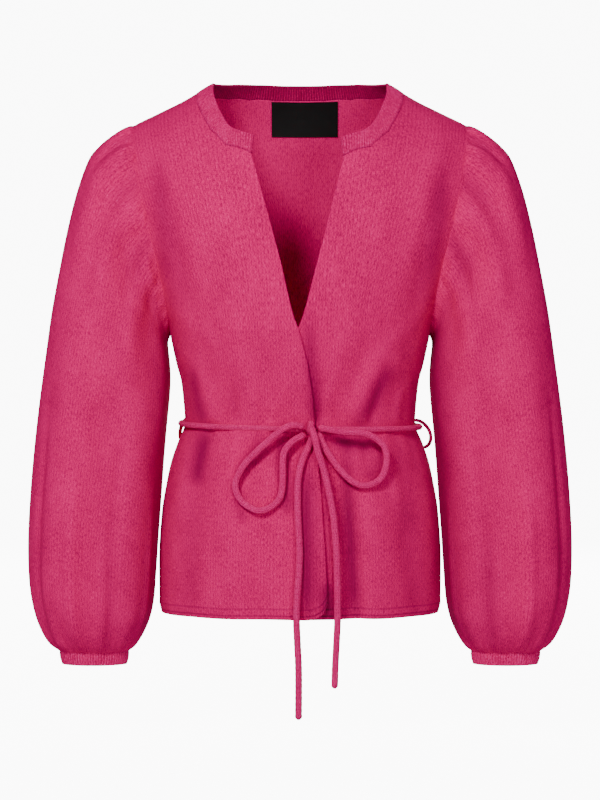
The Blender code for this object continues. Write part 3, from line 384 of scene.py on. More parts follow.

# Painted shade of a sleeve, darkest on its inner side toward the body: angle, share of the length at start
# and end, half width, depth
SLEEVE_PAINTED_SHADE = (
    (162.0, 0.08, 0.95, 26.0, 0.60), (204.0, 0.08, 0.95, 22.0, 0.40), (100.0, 0.00, 0.30, 7.0, 0.25),
    (64.0, 0.00, 0.24, 7.0, 0.20), (32.0, 0.00, 0.20, 6.0, 0.20), (40.0, 0.72, 1.00, 8.0, 0.16),
    (112.0, 0.70, 1.00, 8.0, 0.20), (248.0, 0.70, 1.00, 8.0, 0.16), (286.0, 0.70, 1.00, 8.0, 0.16),
    (330.0, 0.72, 1.00, 8.0, 0.16),
)

# How folds, creases and the painted shade fade
FOLD_RISE = (-0.35, 0.25)           # part of a body fold's length over which it rises
FOLD_FALL = (0.85, 1.15)            # part of its length over which it dies away
SLEEVE_FOLD_RISE = (-0.06, 0.07)    # shares round a sleeve fold's start over which it rises
SLEEVE_FOLD_FALL = (-0.12, 0.02)    # shares round its end over which it dies away
SIDE_FADE = (0.15, 0.6)             # share of the depth over which folds fade toward a side
LAP_HEIGHTS = (-0.17, -0.25)        # heights over which the lapping front comes to stand out
LAP_WIDTHS = (0.045, 0.105)         # distances from the centre over which it lies down again
CREASED = 1.9            # how deep the finer creases are laid
SEAM_LAP = 0.0004        # how far a sleeve's head reaches into the armhole seam
CREASE_PAINTED_SHADE = 130.0     # painted shade of a body crease for each metre of its depth
SLEEVE_CREASE_PAINTED_SHADE = 35.0          # the same painted shade for a sleeve's crease
SLEEVE_PAINTED_SHADE_WEIGHT = {1: 1.3, -1: 0.9}    # weight of the painted shade on the left and the right sleeve
DARKEST_PAINTED_SHADE = 0.75           # darkest that the painted shade gets

# Hem band: how far it stands out, where it ends, its grooves (height, half width, depth)
# and the painted shade along them (height, half width, depth of colour)
HEM_RAISE = 0.0008
HEM_TOP = (0.0100, 0.0115)
HEM_GROOVES = ((0.0118, 0.0010, 0.0010), (0.0042, 0.0009, 0.0011))
HEM_PAINTED_SHADE = ((0.0042, 0.0015, 0.55), (0.0116, 0.0015, 0.35))

# Small pleats of a sleeve: height, and how many there are round it
PUCKER_DEPTH, PUCKERS = 0.0007, 41.0
HEAD_DEPTH, HEAD_PLEATS = 0.0015, 37.0
# Shares of a sleeve's length over which they and its folds come and go
PLEATED = ((0.0, 0.02), (0.97, 1.0))
FOLDED = ((0.0, 0.08), (0.90, 1.0))
GATHERED = ((0.70, 0.90), (0.95, 1.0))
PUCKERED = (0.86, 0.96)
HEAD_REACH = (0.02, 0.14)

# Ribs
RIB_STEPS = 8            # samples to a rib
RIB_HEIGHT = 0.0012      # height of a rib over its groove
GROOVE_PAINTED_SHADE = 0.50      # painted shade in the grooves
SEAM_PAINTED_SHADE = 0.45        # painted shade along the seam at the ribs' start
SEAM_SHARE = 0.06        # part of the band's width that it takes
DARKEST_PAINTED_SHADE_RIB = 0.7        # darkest painted shade on a ribbed band
CUFF_SHARES = (0.0, 0.06, 0.16, 0.34, 0.52, 0.70, 0.86, 0.95, 1.0)
BAND_SHARES = (0.0, 0.04, 0.12, 0.28, 0.46, 0.64, 0.80, 0.92, 0.98, 1.0)
CUFF_RISE = (0.35, 4.0, 0.15)       # ribs at the seam, how fast they rise, head start
BAND_RISE = (0.30, 6.0, 0.1)
CUFF_BELLY = 0.0008      # how far a cuff bulges halfway down
BAND_BELLY = 0.0006      # how far the neckband bulges halfway up
BAND_SEAM = 0.0004       # gap from the neck seam to the neckband
BAND_NARROWING = 0.95    # width of the band in front, as part of the solid's
BAND_DEPTHS = (-0.02, 0.05)         # depths over which it comes to the back's width
SHOULDER_EXTRA = (-0.002, 0.026, 0.0025)    # depth, half length and size of a wider stretch
BAND_LEAN = 0.50         # how much the band leans outward in front
END_LEAN = 0.06          # how much less it leans at its very ends
END_REACH = 0.030        # length of these ends
LEAN_DEPTHS = (-0.030, 0.0)         # depths over which the lean goes
# Samples either way that the neckband's lines are evened over
NORMAL_REACH, LINE_REACH, WAY_REACH = 24, 12, 40
EDGE_REACHES = (30, 22)
CUFF_FINE = 8            # samples of a cuff between the places of its ring

# Cloths: outer and inner surface, thickness; rounding of the rims
CLOTHS = {"knit": (("knit", "reverse"), WALL - 0.0002), "rib": (("rib", "rib"), WALL - 0.0004)}
PANEL_ROUNDING, SLEEVE_ROUNDING, RIB_ROUNDING = 0.0005, 0.0004, 0.0007
GIRTH_RADIUS = 0.132     # mean radius of the body, which spaces the wales
YOKE_LENGTH = 0.30       # length of cloth from the underarm's level over the shoulder
SLEEVE_GIRTH = 0.42      # girth that spaces a sleeve's wales

# Knitted surfaces: wale and course pitch, weight of the stitches in the relief and in its painted shade,
# relief, sheen
SURFACES = {
    "knit": (0.0030, 0.0021, 0.30, 0.90, 0.20),
    "reverse": (0.0016, 0.0024, 0.35, 0.80, 0.20),
    "rib": (RIB_PITCH, 0.0016, 1.10, 0.80, 0.20),
    "belt": (0.0019, 0.0030, 0.80, 1.00, 0.50),
}

# Noises: changes to a metre along each axis, detail, roughness
WARP = ((160.0, 160.0, 1.0), 2.0, 0.6)
NAP = ((1250.0, 330.0, 1.0), 4.0, 0.65)
TUFT = ((520.0, 120.0, 1.0), 3.0, 0.6)
CLOUD = ((38.0, 20.0, 1.0), 2.0, 0.6)
WEAVE = ((300.0, 300.0, 2600.0), 2.0, 0.6)
WANDER = 0.0016          # how far the wales wander
STITCH_LEAN = 1.6        # how steeply a stitch's legs lean
# Weights of the noises and the stitches in the height and in the shade; the stitches' part of the shade is
# painted shade and highlight of their relief
NAP_HEIGHT, TUFT_HEIGHT = 0.9, 0.7
NAP_SHADE, TUFT_SHADE, CLOUD_SHADE, STITCH_PAINTED_SHADE = 1.9, 0.45, 0.40, 0.9
MEAN_STITCH = 0.57       # mean height of the stitches
SHADE_START = 0.895      # taken off the summed shades, so that they fill the ramp
KNIT_RELIEF, SATIN_RELIEF = 0.0012, 0.0003      # depth of the two surfaces' relief

# Places of the yarn's colours on the ramp, colours of the fibres' tips, of the painted shade, of
# the sheen, of the cord's body and nap, and of the label's satin
DARK_STOP, BODY_STOP, NAP_STOP = 0.15, 0.50, 0.82
TIP_COLOUR = (1.0, 0.06, 0.34, 1.0)
PAINTED_SHADE_COLOUR = (0.17, 0.0030, 0.045, 1.0)
SHEEN_TINT = (1.0, 0.02, 0.22, 1.0)
CORD_COLOURS = ((0.88, 0.012, 0.200), (1.0, 0.050, 0.300))
SATIN_COLOURS = ((0.0010, 0.0009, 0.0010, 1.0), (0.0040, 0.0034, 0.0038, 1.0))
WHITE = (1.0, 1.0, 1.0, 1.0)

# Cords: length of a step in diameters, samples round, wales round, length of a stitch,
# and how far wales and stitches stand out as parts of the radius
CORD_STEP = 0.22
CORD_SIDES = 18
CORD_WALES = 6.0
CORD_COURSE = 0.0021
WALE_SHARE, STITCH_SHARE = 0.045, 0.035
CORD_FULL = 1.03         # mean radius, as part of half the diameter
STITCH_WAVE = 2.4        # how far the stitches run ahead on the wales
CAP_FIRST, CAP_STEPS = 0.12, 2.4    # steps over which an end is rounded
ROUTE_FINE = 12          # samples between the points of a route
KNOT_LEAVE = 0.55        # diameters from the knot's face to a strand's second place
SEAT_RAYS = 721          # places tried for the seat of a loop's end

# Cut of each sheet: width, length and flat area
PANEL_CUTS = (
    ("right_front", (0.290, 0.600), 0.125),
    ("left_front", (0.290, 0.600), 0.125),
    ("back", (0.420, 0.610), 0.215),
)

# Studio
BACKDROP = 10.0          # brightness of the floor and the backdrop that the camera sees
AMBIENT = 0.06           # soft light from all round
FLOOR_SIZE = 60.0
FLOOR_DROP = 0.030       # how far the floor lies under the lowest point
FLOOR_GREY = 0.62
LAMP_AIM = (0.0, 0.0, -0.35)
# Lamps: place, size, power
LAMPS = (
    ("key", (-1.0, -2.7, 1.2), 0.7, 82.0),
    ("fill", (1.0, -3.3, -0.2), 0.8, 37.0),
    ("top", (-0.2, -0.6, 2.4), 1.0, 5.0),
    ("back", (0.3, 2.9, 0.8), 1.4, 105.0),
)
CAMERA_AT = (0.0, -2.6, -0.36)
LENS = 103.5


def smooth(table, at, column=1):
    """Read one column of a table at values of its first column, without overshoot."""
    keys = np.array([row[0] for row in table])
    values = np.array([row[column] for row in table])
    steps = np.diff(keys)
    slopes = np.diff(values) / steps
    product = slopes[:-1] * slopes[1:]
    total = slopes[:-1] + slopes[1:]
    inner = np.where(product > 0.0, 2.0 * product / np.where(total == 0.0, 1.0, total), 0.0)
    tangents = np.concatenate((slopes[:1], inner, slopes[-1:]))
    at = np.clip(at, keys[0], keys[-1])
    i = np.clip(np.searchsorted(keys, at, side="right") - 1, 0, len(steps) - 1)
    s = (at - keys[i]) / steps[i]
    rise = s * s * (3.0 - 2.0 * s)
    lead = s * (1.0 - s) ** 2 * steps[i] * tangents[i]
    tail = -s * s * (1.0 - s) * steps[i] * tangents[i + 1]
    return values[i] + (values[i + 1] - values[i]) * rise + lead + tail


def ease(value, low, high):
    """Go smoothly from 0 at low to 1 at high."""
    s = np.clip((value - low) / (high - low), 0.0, 1.0)
    return s * s * (3.0 - 2.0 * s)


def unit(vectors):
    """Vectors made one long."""
    return vectors / np.linalg.norm(vectors, axis=-1, keepdims=True)


# Shape of the body


def fold_height(table, side, x, z):
    """Sum of the folds of one side of the body at places on it."""
    total = 0.0
    for face, x0, z0, x1, z1, half, height in table:
        if face != side:
            continue
        dx, dz = x1 - x0, z1 - z0
        along = ((x - x0) * dx + (z - z0) * dz) / (dx * dx + dz * dz)
        across = np.abs((x - x0) * dz - (z - z0) * dx) / math.hypot(dx, dz)
        reach = ease(along, *FOLD_RISE) * (1.0 - ease(along, *FOLD_FALL))
        total = total + height * reach * np.exp(-(across / half) ** 2)
    return total


def section(level):
    """Half width and depths of the body's middle surface, and its share of the way up."""
    z = HEM_Z + (UNDERARM_Z - HEM_Z) * np.clip(level, 0.0, 1.0)
    up = np.sin(np.clip(np.asarray(level) - 1.0, 0.0, 1.0) * math.pi / 2)
    above = np.asarray(level) > 1.0
    half, front, back = (np.where(above, smooth(YOKE, up, k), smooth(BODY, z, k)) - WALL / 2
                         for k in (1, 2, 3))
    turn = np.sqrt(np.maximum(0.0, 1.0 - up ** RIDGE_POWER))
    return half, front * turn, back * turn, up


def torso(angle, level, lift=0.0, creased=False):
    """Places on the body: angle 0 is centre front and pi centre back, level 1 the underarm."""
    angle, level = np.broadcast_arrays(np.asarray(angle, float), np.asarray(level, float))
    over = level > 2.0
    angle = np.where(over, math.pi - angle, angle)
    level = np.where(over, 4.0 - level, level)
    half, front, back, up = section(level)
    across = np.sin(angle)
    x = half * across
    yoke_z = UNDERARM_Z + (smooth(RIDGE, np.abs(x)) - UNDERARM_Z) * up
    z = np.where(level > 1.0, yoke_z, HEM_Z + (UNDERARM_Z - HEM_Z) * level)
    depth = np.maximum(0.0, 1.0 - np.abs(across) ** SIDE_POWER) ** (1.0 / SIDE_POWER)
    inward = ease(depth, *SIDE_FADE)
    lap = lift * ease(z, *LAP_HEIGHTS) * (1.0 - ease(np.abs(x), *LAP_WIDTHS))
    folds = {}
    for side in ("front", "back"):
        folds[side] = fold_height(BODY_FOLDS, side, x, z)
        if creased:
            folds[side] = folds[side] + fold_height(BODY_CREASES, side, x, z) * CREASED
    ahead = -front * depth - inward * folds["front"] - lap
    behind = back * depth + inward * folds["back"]
    return np.stack((x, np.where(np.cos(angle) >= 0.0, ahead, behind), z), axis=-1)


def torso_normal(angle, level, lift=0.0):
    """Unit normal of the body at one place."""
    step = 1e-3
    along = torso(angle + step, level, lift) - torso(angle - step, level, lift)
    up = torso(angle, level + step, lift) - torso(angle, level - step, lift)
    return unit(np.cross(along, up))


def level_of(x, z):
    """Level on the body of a place given by its distance from the centre and height."""
    if z <= UNDERARM_Z:
        return (z - HEM_Z) / (UNDERARM_Z - HEM_Z)
    up = (z - UNDERARM_Z) / (smooth(RIDGE, abs(x)) - UNDERARM_Z)
    return 1.0 + math.asin(min(1.0, up)) * 2 / math.pi


def place(x, z, behind=False):
    """Angle and level of a place given by its distance from the centre and height."""
    level = level_of(x, z)
    angle = math.asin(max(-1.0, min(1.0, x / section(level)[0])))
    return (math.pi - angle if behind else angle, level)


def ridge_angle(x):
    """Angle of a place on the shoulder's ridge, given by its distance from the centre."""
    return math.asin(x / section(2.0)[0])


# Boundaries of the panels


def armhole_place(row, side, behind):
    """Angle and level of a point of the armhole seam, row 0 at the underarm."""
    up = (1.0 - math.cos(math.pi * row / ARM_ROWS)) / 2
    level = 1.0 + math.asin(up) * 2 / math.pi
    half = section(level)[0]
    x = min(smooth(ARMHOLE, up) - WALL / 2, half)
    angle = math.asin(x / half) if row else math.pi / 2
    return (side * (math.pi - angle if behind else angle), level)


def side_place(row, side, behind):
    """Outer boundary of a panel: side seam, then armhole, moved in by half the seam."""
    if row <= BODY_ROWS:
        level = level_of(0.0, BODY_HEIGHTS[row])
        front, back = section(level)[1:3]
        shift = SEAM / 2 / (back if behind else front)
        angle = math.pi / 2 + shift if behind else math.pi / 2 - shift
        return (side * angle, level)
    return armhole_place(row - BODY_ROWS, side, behind)


def spread(points, count, crowd=1.0):
    """Samples of a polyline of (angle, level) points by real distance, crowded to its end."""
    places = [torso(a, l) for a, l in points]
    runs = [0.0]
    for p, q in zip(places, places[1:]):
        runs.append(runs[-1] + np.linalg.norm(q - p))
    samples = []
    for k in range(count + 1):
        want = runs[-1] * (1.0 - (1.0 - k / count) ** crowd)
        i = min(max(j for j in range(len(runs)) if runs[j] <= want + 1e-12), len(runs) - 2)
        s = (want - runs[i]) / (runs[i + 1] - runs[i])
        samples.append(tuple(a + (b - a) * s for a, b in zip(points[i], points[i + 1])))
    return samples


def neck_seam(side, corner):
    """Neck boundary of a front, from its upper corner to the shoulder's ridge."""
    seam = [corner] + list(NECK_SEAM)
    step = (seam[-1][0] - corner[0]) / NECK_SAMPLES
    line = [(corner[0] + step * k, smooth(seam, corner[0] + step * k)) for k in range(NECK_SAMPLES + 1)]
    line.append(NECK_SEAM_END)
    places = [(side * angle, level) for angle, level in (place(x, z) for x, z in line)]
    places.append((side * ridge_angle(NECK_X), 2.0))
    return spread(places, NECK_COLUMNS, NECK_CROWD)


def front_boundaries(side, edge):
    """Inner, outer, bottom and top boundaries of one front, as (angle, level) points."""
    top_z, top_x = edge[-1]
    heights = list(BODY_HEIGHTS)
    heights += [UNDERARM_Z + (top_z - UNDERARM_Z) * k / ARM_ROWS for k in range(1, ARM_ROWS + 1)]
    inner = [place(smooth(edge, z), z) for z in heights]
    outer = [side_place(row, side, False) for row in range(ROWS + 1)]
    bottom = [tuple((1 - u) * a + u * b for a, b in zip(inner[0], outer[0])) for u in FRONT_SHARES]
    ridge = []
    for k in range(1, RIDGE_COLUMNS + 1):
        x = NECK_X + (SHOULDER_X - WALL / 2 - NECK_X) * k / RIDGE_COLUMNS
        ridge.append((side * ridge_angle(x), 2.0))
    return inner, outer, bottom, neck_seam(side, (abs(top_x), top_z)) + ridge


def patch(inner, outer, bottom, top, shares, decay=1.0):
    """Fill four boundaries of (angle, level) points with rows of places."""
    grid = []
    for r in range(len(inner)):
        v = (inner[r][1] - inner[0][1]) / (inner[-1][1] - inner[0][1])
        low, high = 1 - v, v ** decay
        line = []
        for c, u in enumerate(shares):
            mix = []
            for k in (0, 1):
                across = (1 - u) * inner[r][k] + u * outer[r][k]
                from_bottom = bottom[c][k] - (1 - u) * bottom[0][k] - u * bottom[-1][k]
                from_top = top[c][k] - (1 - u) * top[0][k] - u * top[-1][k]
                mix.append(across + low * from_bottom + high * from_top)
            line.append(tuple(mix))
        grid.append(line)
    return np.array(grid, dtype=float)


def back_places():
    """Rows of places of the back panel, from the left side seam to the right one."""
    half = BACK_COLUMNS // 2
    neck_count = half - RIDGE_COLUMNS
    top = []
    for k in range(RIDGE_COLUMNS + 1):
        x = SHOULDER_X - WALL / 2 - (SHOULDER_X - WALL / 2 - NECK_X) * k / RIDGE_COLUMNS
        top.append((math.pi - ridge_angle(x), 2.0))
    side_z = smooth(RIDGE, NECK_X) - NECK_DROP
    for k in range(1, neck_count + 1):
        turn = k / neck_count * math.pi / 2
        z = side_z + (BACK_NECK_Z - side_z) * math.sin(turn)
        top.append(place(NECK_X * math.cos(turn), z, True))
    outer = [side_place(row, 1, True) for row in range(ROWS + 1)]
    inner = [(math.pi, level_of(0.0, z)) for z in BODY_HEIGHTS]
    inner += [(math.pi, 1.0 + (top[-1][1] - 1.0) * r / ARM_ROWS) for r in range(1, ARM_ROWS + 1)]
    bottom = [(outer[0][0] + (math.pi - outer[0][0]) * k / half, 0.0) for k in range(half + 1)]
    left = patch(outer, inner, bottom, top, [k / half for k in range(half + 1)])
    mirrored = left[:, -2::-1].copy()
    mirrored[:, :, 0] = 2 * math.pi - mirrored[:, :, 0]
    return np.concatenate((left, mirrored), axis=1)


def panel_grid(name):
    """Coarse places of a body panel, a seam short of the ridge, and the lift of its edge."""
    if name == "back":
        grid, lift = back_places(), 0.0
    else:
        side, edge, lift = (-1, RIGHT_EDGE, LAP_LIFT) if name == "right_front" else (1, LEFT_EDGE, 0.0)
        grid = patch(*front_boundaries(side, edge), FRONT_SHARES, FRONT_DECAY)
    grid[-1, :, 1] = np.minimum(grid[-1, :, 1], 2.0 - RIDGE_SHIFT)
    return grid, lift


# Lines and grids of points


def refine(points, times, closed=False):
    """Smooth samples along the first axis of an array of points, through every point."""
    if closed:
        ends = np.concatenate((points[-1:], points, points[:2]))
    else:
        ends = np.concatenate((2 * points[:1] - points[1:2], points, 2 * points[-1:] - points[-2:-1]))
    rows = []
    for i in range(len(ends) - 3):
        a, b, c, d = ends[i:i + 4]
        for k in range(times):
            s = k / times
            rows.append(0.5 * (2 * b + (c - a) * s + (2 * a - 5 * b + 4 * c - d) * s * s
                               + (3 * b - 3 * c + d - a) * s ** 3))
    if not closed:
        rows.append(points[-1])
    return np.array(rows)


def straight(points, times):
    """Even samples along the first axis of an array, in straight steps."""
    rows = []
    for a, b in zip(points, points[1:]):
        rows += [a + (b - a) * k / times for k in range(times)]
    return np.array(rows + [points[-1]])


def crosswise(sample, grid, *options):
    """Sample a grid of points along its second axis."""
    return sample(grid.transpose(1, 0, 2), *options).transpose(1, 0, 2)


def even_line(points, others, count, closed=False):
    """Even samples of a line of points, and of other values that go with them."""
    if closed:
        points = np.concatenate((points, points[:1]))
        others = [np.concatenate((o, o[:1])) for o in others]
    runs = np.concatenate(([0.0], np.cumsum(np.linalg.norm(np.diff(points, axis=0), axis=-1))))
    want = np.linspace(0.0, runs[-1], count + 1)
    if closed:
        want = want[:-1]
    sampled = [np.stack([np.interp(want, runs, g[:, k]) for k in range(g.shape[1])], axis=-1)
               for g in [points] + list(others)]
    return sampled, want


def steady(values, reach):
    """Running mean of the rows of an array, over a number of rows either way."""
    kernel = np.ones(2 * reach + 1) / (2 * reach + 1)
    before = 2.0 * values[:1] - values[reach:0:-1]
    after = 2.0 * values[-1:] - values[-2:-reach - 2:-1]
    wide = np.concatenate((before, values, after))
    return np.stack([np.convolve(wide[:, k], kernel, "valid") for k in range(values.shape[1])], axis=-1)


def normals_of(points):
    """Unit normals of a grid of points, rows by columns."""
    cross = np.cross(np.gradient(points, axis=1), np.gradient(points, axis=0))
    return cross / np.maximum(1e-12, np.linalg.norm(cross, axis=-1, keepdims=True))


def run_up(points):
    """Distance covered along each column of a grid of points, starting at zero."""
    steps = np.linalg.norm(np.diff(points, axis=0), axis=-1)
    return np.concatenate((np.zeros_like(steps[:1]), np.cumsum(steps, axis=0)))


def uv_grid(u, v):
    """UV places of a grid from a value for each column and one for each row."""
    return np.stack(np.broadcast_arrays(u[None, :], v[:, None]), axis=-1)


# Meshes


def bent_grid(points, uv, values):
    """A bmesh grid bent to rows of points, with its UV map and named values at its corners."""
    rows, columns = points.shape[:2]
    bm = bmesh.new()
    bmesh.ops.create_grid(bm, x_segments=columns - 1, y_segments=rows - 1, size=0.5)
    knit = bm.loops.layers.uv.new("knit")
    layers = [(bm.verts.layers.float.new(name), value) for name, value in values]
    cells = {}
    for vert in bm.verts:
        column = int(round((vert.co.x + 0.5) * (columns - 1)))
        row = int(round((vert.co.y + 0.5) * (rows - 1)))
        cells[vert] = (row, column)
    for face in bm.faces:
        for loop in face.loops:
            loop[knit].uv = uv[cells[loop.vert]]
        face.smooth = True
    for vert, cell in cells.items():
        vert.co = points[cell]
        for layer, value in layers:
            vert[layer] = value[cell]
    return bm


def mesh_object(name, bm, materials):
    """An object of a finished bmesh, linked to the scene."""
    mesh = bpy.data.meshes.new(name)
    bm.to_mesh(mesh)
    bm.free()
    for material in materials:
        mesh.materials.append(material)
    obj = bpy.data.objects.new(name, mesh)
    bpy.context.scene.collection.objects.link(obj)
    return obj


def cloth_object(name, kind, points, uv, rounding, painted_shade, rise=None, closed=False):
    """A sheet of cloth from a grid of points, with a wall and rounded rims."""
    faces, thickness = CLOTHS[kind]
    if closed:
        points, painted_shade = (np.concatenate((g, g[:, :1]), axis=1) for g in (points, painted_shade))
    if rise is None:
        rise = np.ones(points.shape[:2])
    # The painted shade and the rise over the hem go to the mesh as values at its corners
    bm = bent_grid(points, uv, (("painted_shade", painted_shade), ("rise", rise)))
    if closed:
        bmesh.ops.remove_doubles(bm, verts=bm.verts, dist=1e-6)
    obj = mesh_object(name, bm, [yarn(face) for face in faces])
    wall = obj.modifiers.new("wall", "SOLIDIFY")
    wall.thickness = thickness
    wall.offset = 0.0
    wall.material_offset = 1
    rim = obj.modifiers.new("rim", "BEVEL")
    rim.width = rounding
    rim.segments = 2
    rim.limit_method = "ANGLE"
    rim.angle_limit = math.radians(60)
    rim.harden_normals = False
    return obj


def tube_object(name, points, uv, material):
    """A closed tube from rings of points, with its two ends filled."""
    bm = bent_grid(np.concatenate((points, points[:, :1]), axis=1), uv, ())
    bmesh.ops.remove_doubles(bm, verts=bm.verts, dist=1e-7)
    bmesh.ops.holes_fill(bm, edges=[edge for edge in bm.edges if edge.is_boundary])
    bmesh.ops.recalc_face_normals(bm, faces=bm.faces)
    for face in bm.faces:
        face.smooth = True
    return mesh_object(name, bm, (material,))


def dress(obj, node):
    """Let a piece stand for its solid, on the one body: the solid is hidden and the piece attached."""
    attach(obj, "root")
    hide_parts(node)
    return obj


# Shaders


def new_group(name, inputs, outputs):
    """Start a shader node group with named sockets."""
    group = bpy.data.node_groups.new(name, "ShaderNodeTree")
    for title, kind, value in inputs:
        socket = group.interface.new_socket(title, in_out="INPUT", socket_type=kind)
        if value is not None:
            socket.default_value = value
    for title, kind in outputs:
        group.interface.new_socket(title, in_out="OUTPUT", socket_type=kind)
    return group, group.nodes.new("NodeGroupInput"), group.nodes.new("NodeGroupOutput")


def math_node(tree, operation, *values):
    """One step of arithmetic on numbers and sockets in a node tree."""
    node = tree.nodes.new("ShaderNodeMath")
    node.operation = operation
    for socket, value in zip(node.inputs, values):
        if isinstance(value, (int, float)):
            socket.default_value = value
        else:
            tree.links.new(value, socket)
    return node.outputs[0]


def noise_node(tree, vector, scale, detail, roughness):
    """Noise on a vector that is first stretched by its own scale along each axis."""
    stretch = tree.nodes.new("ShaderNodeVectorMath")
    stretch.operation = "MULTIPLY"
    stretch.inputs[1].default_value = scale
    tree.links.new(vector, stretch.inputs[0])
    noise = tree.nodes.new("ShaderNodeTexNoise")
    noise.inputs["Scale"].default_value = 1.0
    noise.inputs["Detail"].default_value = detail
    noise.inputs["Roughness"].default_value = roughness
    tree.links.new(stretch.outputs[0], noise.inputs["Vector"])
    return noise.outputs["Fac"]


def attribute_node(tree, name):
    """A float attribute of the mesh."""
    node = tree.nodes.new("ShaderNodeAttribute")
    node.attribute_name = name
    return node.outputs["Fac"]


def relief_node(tree, height, strength, distance):
    """Bump the material's own shader by a height."""
    relief = tree.nodes.new("ShaderNodeBump")
    relief.inputs["Strength"].default_value = strength
    relief.inputs["Distance"].default_value = distance
    tree.links.new(height, relief.inputs["Height"])
    tree.links.new(relief.outputs[0], tree.nodes["Principled BSDF"].inputs["Normal"])


def new_material(name, **settings):
    """A material whose shader has the settings given by the names of its sockets."""
    material = bpy.data.materials.new(name)
    material.use_nodes = True
    shader = material.node_tree.nodes["Principled BSDF"]
    for title, value in settings.items():
        shader.inputs[title.replace("_", " ")].default_value = value
    return material, material.node_tree, shader


def knit_group():
    """Brushed knit: rows of soft stitches under a nap that breaks them up."""
    group, entry, leave = new_group(
        "brushed_knit",
        (("UV", "NodeSocketVector", None), ("Wale", "NodeSocketFloat", 0.0021),
         ("Course", "NodeSocketFloat", 0.0017), ("Stitch", "NodeSocketFloat", 0.35)),
        (("Shade", "NodeSocketFloat"), ("Height", "NodeSocketFloat")))

    def maths(operation, *values):
        return math_node(group, operation, *values)

    vector, weight = entry.outputs["UV"], entry.outputs["Stitch"]
    warp, nap, tuft, cloud = (noise_node(group, vector, *noise) for noise in (WARP, NAP, TUFT, CLOUD))
    split = group.nodes.new("ShaderNodeSeparateXYZ")
    group.links.new(vector, split.inputs[0])
    wander = maths("MULTIPLY", maths("SUBTRACT", warp, 0.5), WANDER)
    u, v = (maths("ADD", split.outputs[k], wander) for k in (0, 1))
    fraction = maths("FRACT", maths("DIVIDE", u, entry.outputs["Wale"]))
    from_middle = maths("ABSOLUTE", maths("SUBTRACT", fraction, 0.5))
    lean = maths("MULTIPLY", from_middle, -STITCH_LEAN)
    course = maths("ADD", maths("DIVIDE", v, entry.outputs["Course"]), lean)
    bump = maths("SINE", maths("MULTIPLY", course, 2.0 * math.pi))
    loops = maths("MULTIPLY_ADD", bump, 0.25, 0.25)
    column = maths("SINE", maths("MULTIPLY", fraction, math.pi))
    stitch = maths("ADD", maths("MULTIPLY", column, 0.5), loops)
    napped = maths("MULTIPLY_ADD", nap, NAP_HEIGHT, maths("MULTIPLY", stitch, weight))
    height = maths("MULTIPLY_ADD", tuft, TUFT_HEIGHT, napped)
    fibre = maths("MULTIPLY_ADD", nap, NAP_SHADE, maths("MULTIPLY", tuft, TUFT_SHADE))
    clouded = maths("MULTIPLY_ADD", cloud, CLOUD_SHADE, fibre)
    # The stitches' relief goes into the colour too: painted shade in the gaps between stitches, painted
    # highlight on their raised loops
    raised = maths("SUBTRACT", stitch, MEAN_STITCH)
    mixed = maths("MULTIPLY_ADD", raised, maths("MULTIPLY", weight, STITCH_PAINTED_SHADE), clouded)
    shade = maths("SUBTRACT", mixed, SHADE_START)
    group.links.new(height, leave.inputs["Height"])
    group.links.new(shade, leave.inputs["Shade"])
    return group


def shade_ramp(tree, shade, colours):
    """Colour of the yarn by its shade: dark between the fibres, body, nap and tips."""
    node = tree.nodes.new("ShaderNodeValToRGB")
    stops = node.color_ramp.elements
    dark, body, nap = colours
    stops[0].position, stops[1].position = DARK_STOP, NAP_STOP
    stops[0].color, stops[1].color = (*dark, 1.0), (*nap, 1.0)
    stops.new(1.0).color = TIP_COLOUR
    stops.new(BODY_STOP).color = (*body, 1.0)
    tree.links.new(shade, node.inputs[0])
    return node.outputs[0]


def with_painted_shade(tree, colour):
    """A colour darkened by painted shade where shade falls on the cloth, and along the grooves over its
    hem.
    """
    rise = attribute_node(tree, "rise")
    dark = attribute_node(tree, "painted_shade")
    # Painted shade along the grooves over the hem
    for height, half, weight in HEM_PAINTED_SHADE:
        away = math_node(tree, "ABSOLUTE", math_node(tree, "SUBTRACT", rise, height))
        slope = math_node(tree, "MULTIPLY_ADD", away, -weight / half, weight)
        dark = math_node(tree, "ADD", dark, math_node(tree, "MAXIMUM", slope, 0.0))
    # Mix toward the colour of the painted shade
    mix = tree.nodes.new("ShaderNodeMix")
    mix.data_type = "RGBA"
    mix.inputs[7].default_value = PAINTED_SHADE_COLOUR
    tree.links.new(dark, mix.inputs[0])
    tree.links.new(colour, mix.inputs[6])
    return mix.outputs[2]


def knit_material(name, group, colours, wale, course, stitch, bump, sheen):
    """Brushed knit in one colourway: dark between the fibres, body and light nap, deepened with painted
    shade.
    """
    material, tree, shader = new_material(
        name, Roughness=0.95, Specular_IOR_Level=0.05, Sheen_Weight=sheen, Sheen_Roughness=0.45,
        Sheen_Tint=SHEEN_TINT)
    uv = tree.nodes.new("ShaderNodeUVMap")
    uv.uv_map = "knit"
    knit = tree.nodes.new("ShaderNodeGroup")
    knit.node_tree = group
    for title, value in (("Wale", wale), ("Course", course), ("Stitch", stitch)):
        knit.inputs[title].default_value = value
    tree.links.new(uv.outputs[0], knit.inputs["UV"])
    colour = shade_ramp(tree, knit.outputs["Shade"], colours)
    tree.links.new(with_painted_shade(tree, colour), shader.inputs["Base Color"])
    relief_node(tree, knit.outputs["Height"], bump, KNIT_RELIEF)
    return material


def label_material():
    """Plain black satin with a fine weave."""
    material, tree, shader = new_material("black_satin", Roughness=0.60, Specular_IOR_Level=0.20)
    place_node = tree.nodes.new("ShaderNodeTexCoord")
    weave = noise_node(tree, place_node.outputs["Object"], *WEAVE)
    ramp = tree.nodes.new("ShaderNodeValToRGB")
    for stop, colour in zip(ramp.color_ramp.elements, SATIN_COLOURS):
        stop.color = colour
    tree.links.new(weave, ramp.inputs[0])
    tree.links.new(ramp.outputs[0], shader.inputs["Base Color"])
    relief_node(tree, weave, 0.25, SATIN_RELIEF)
    return material


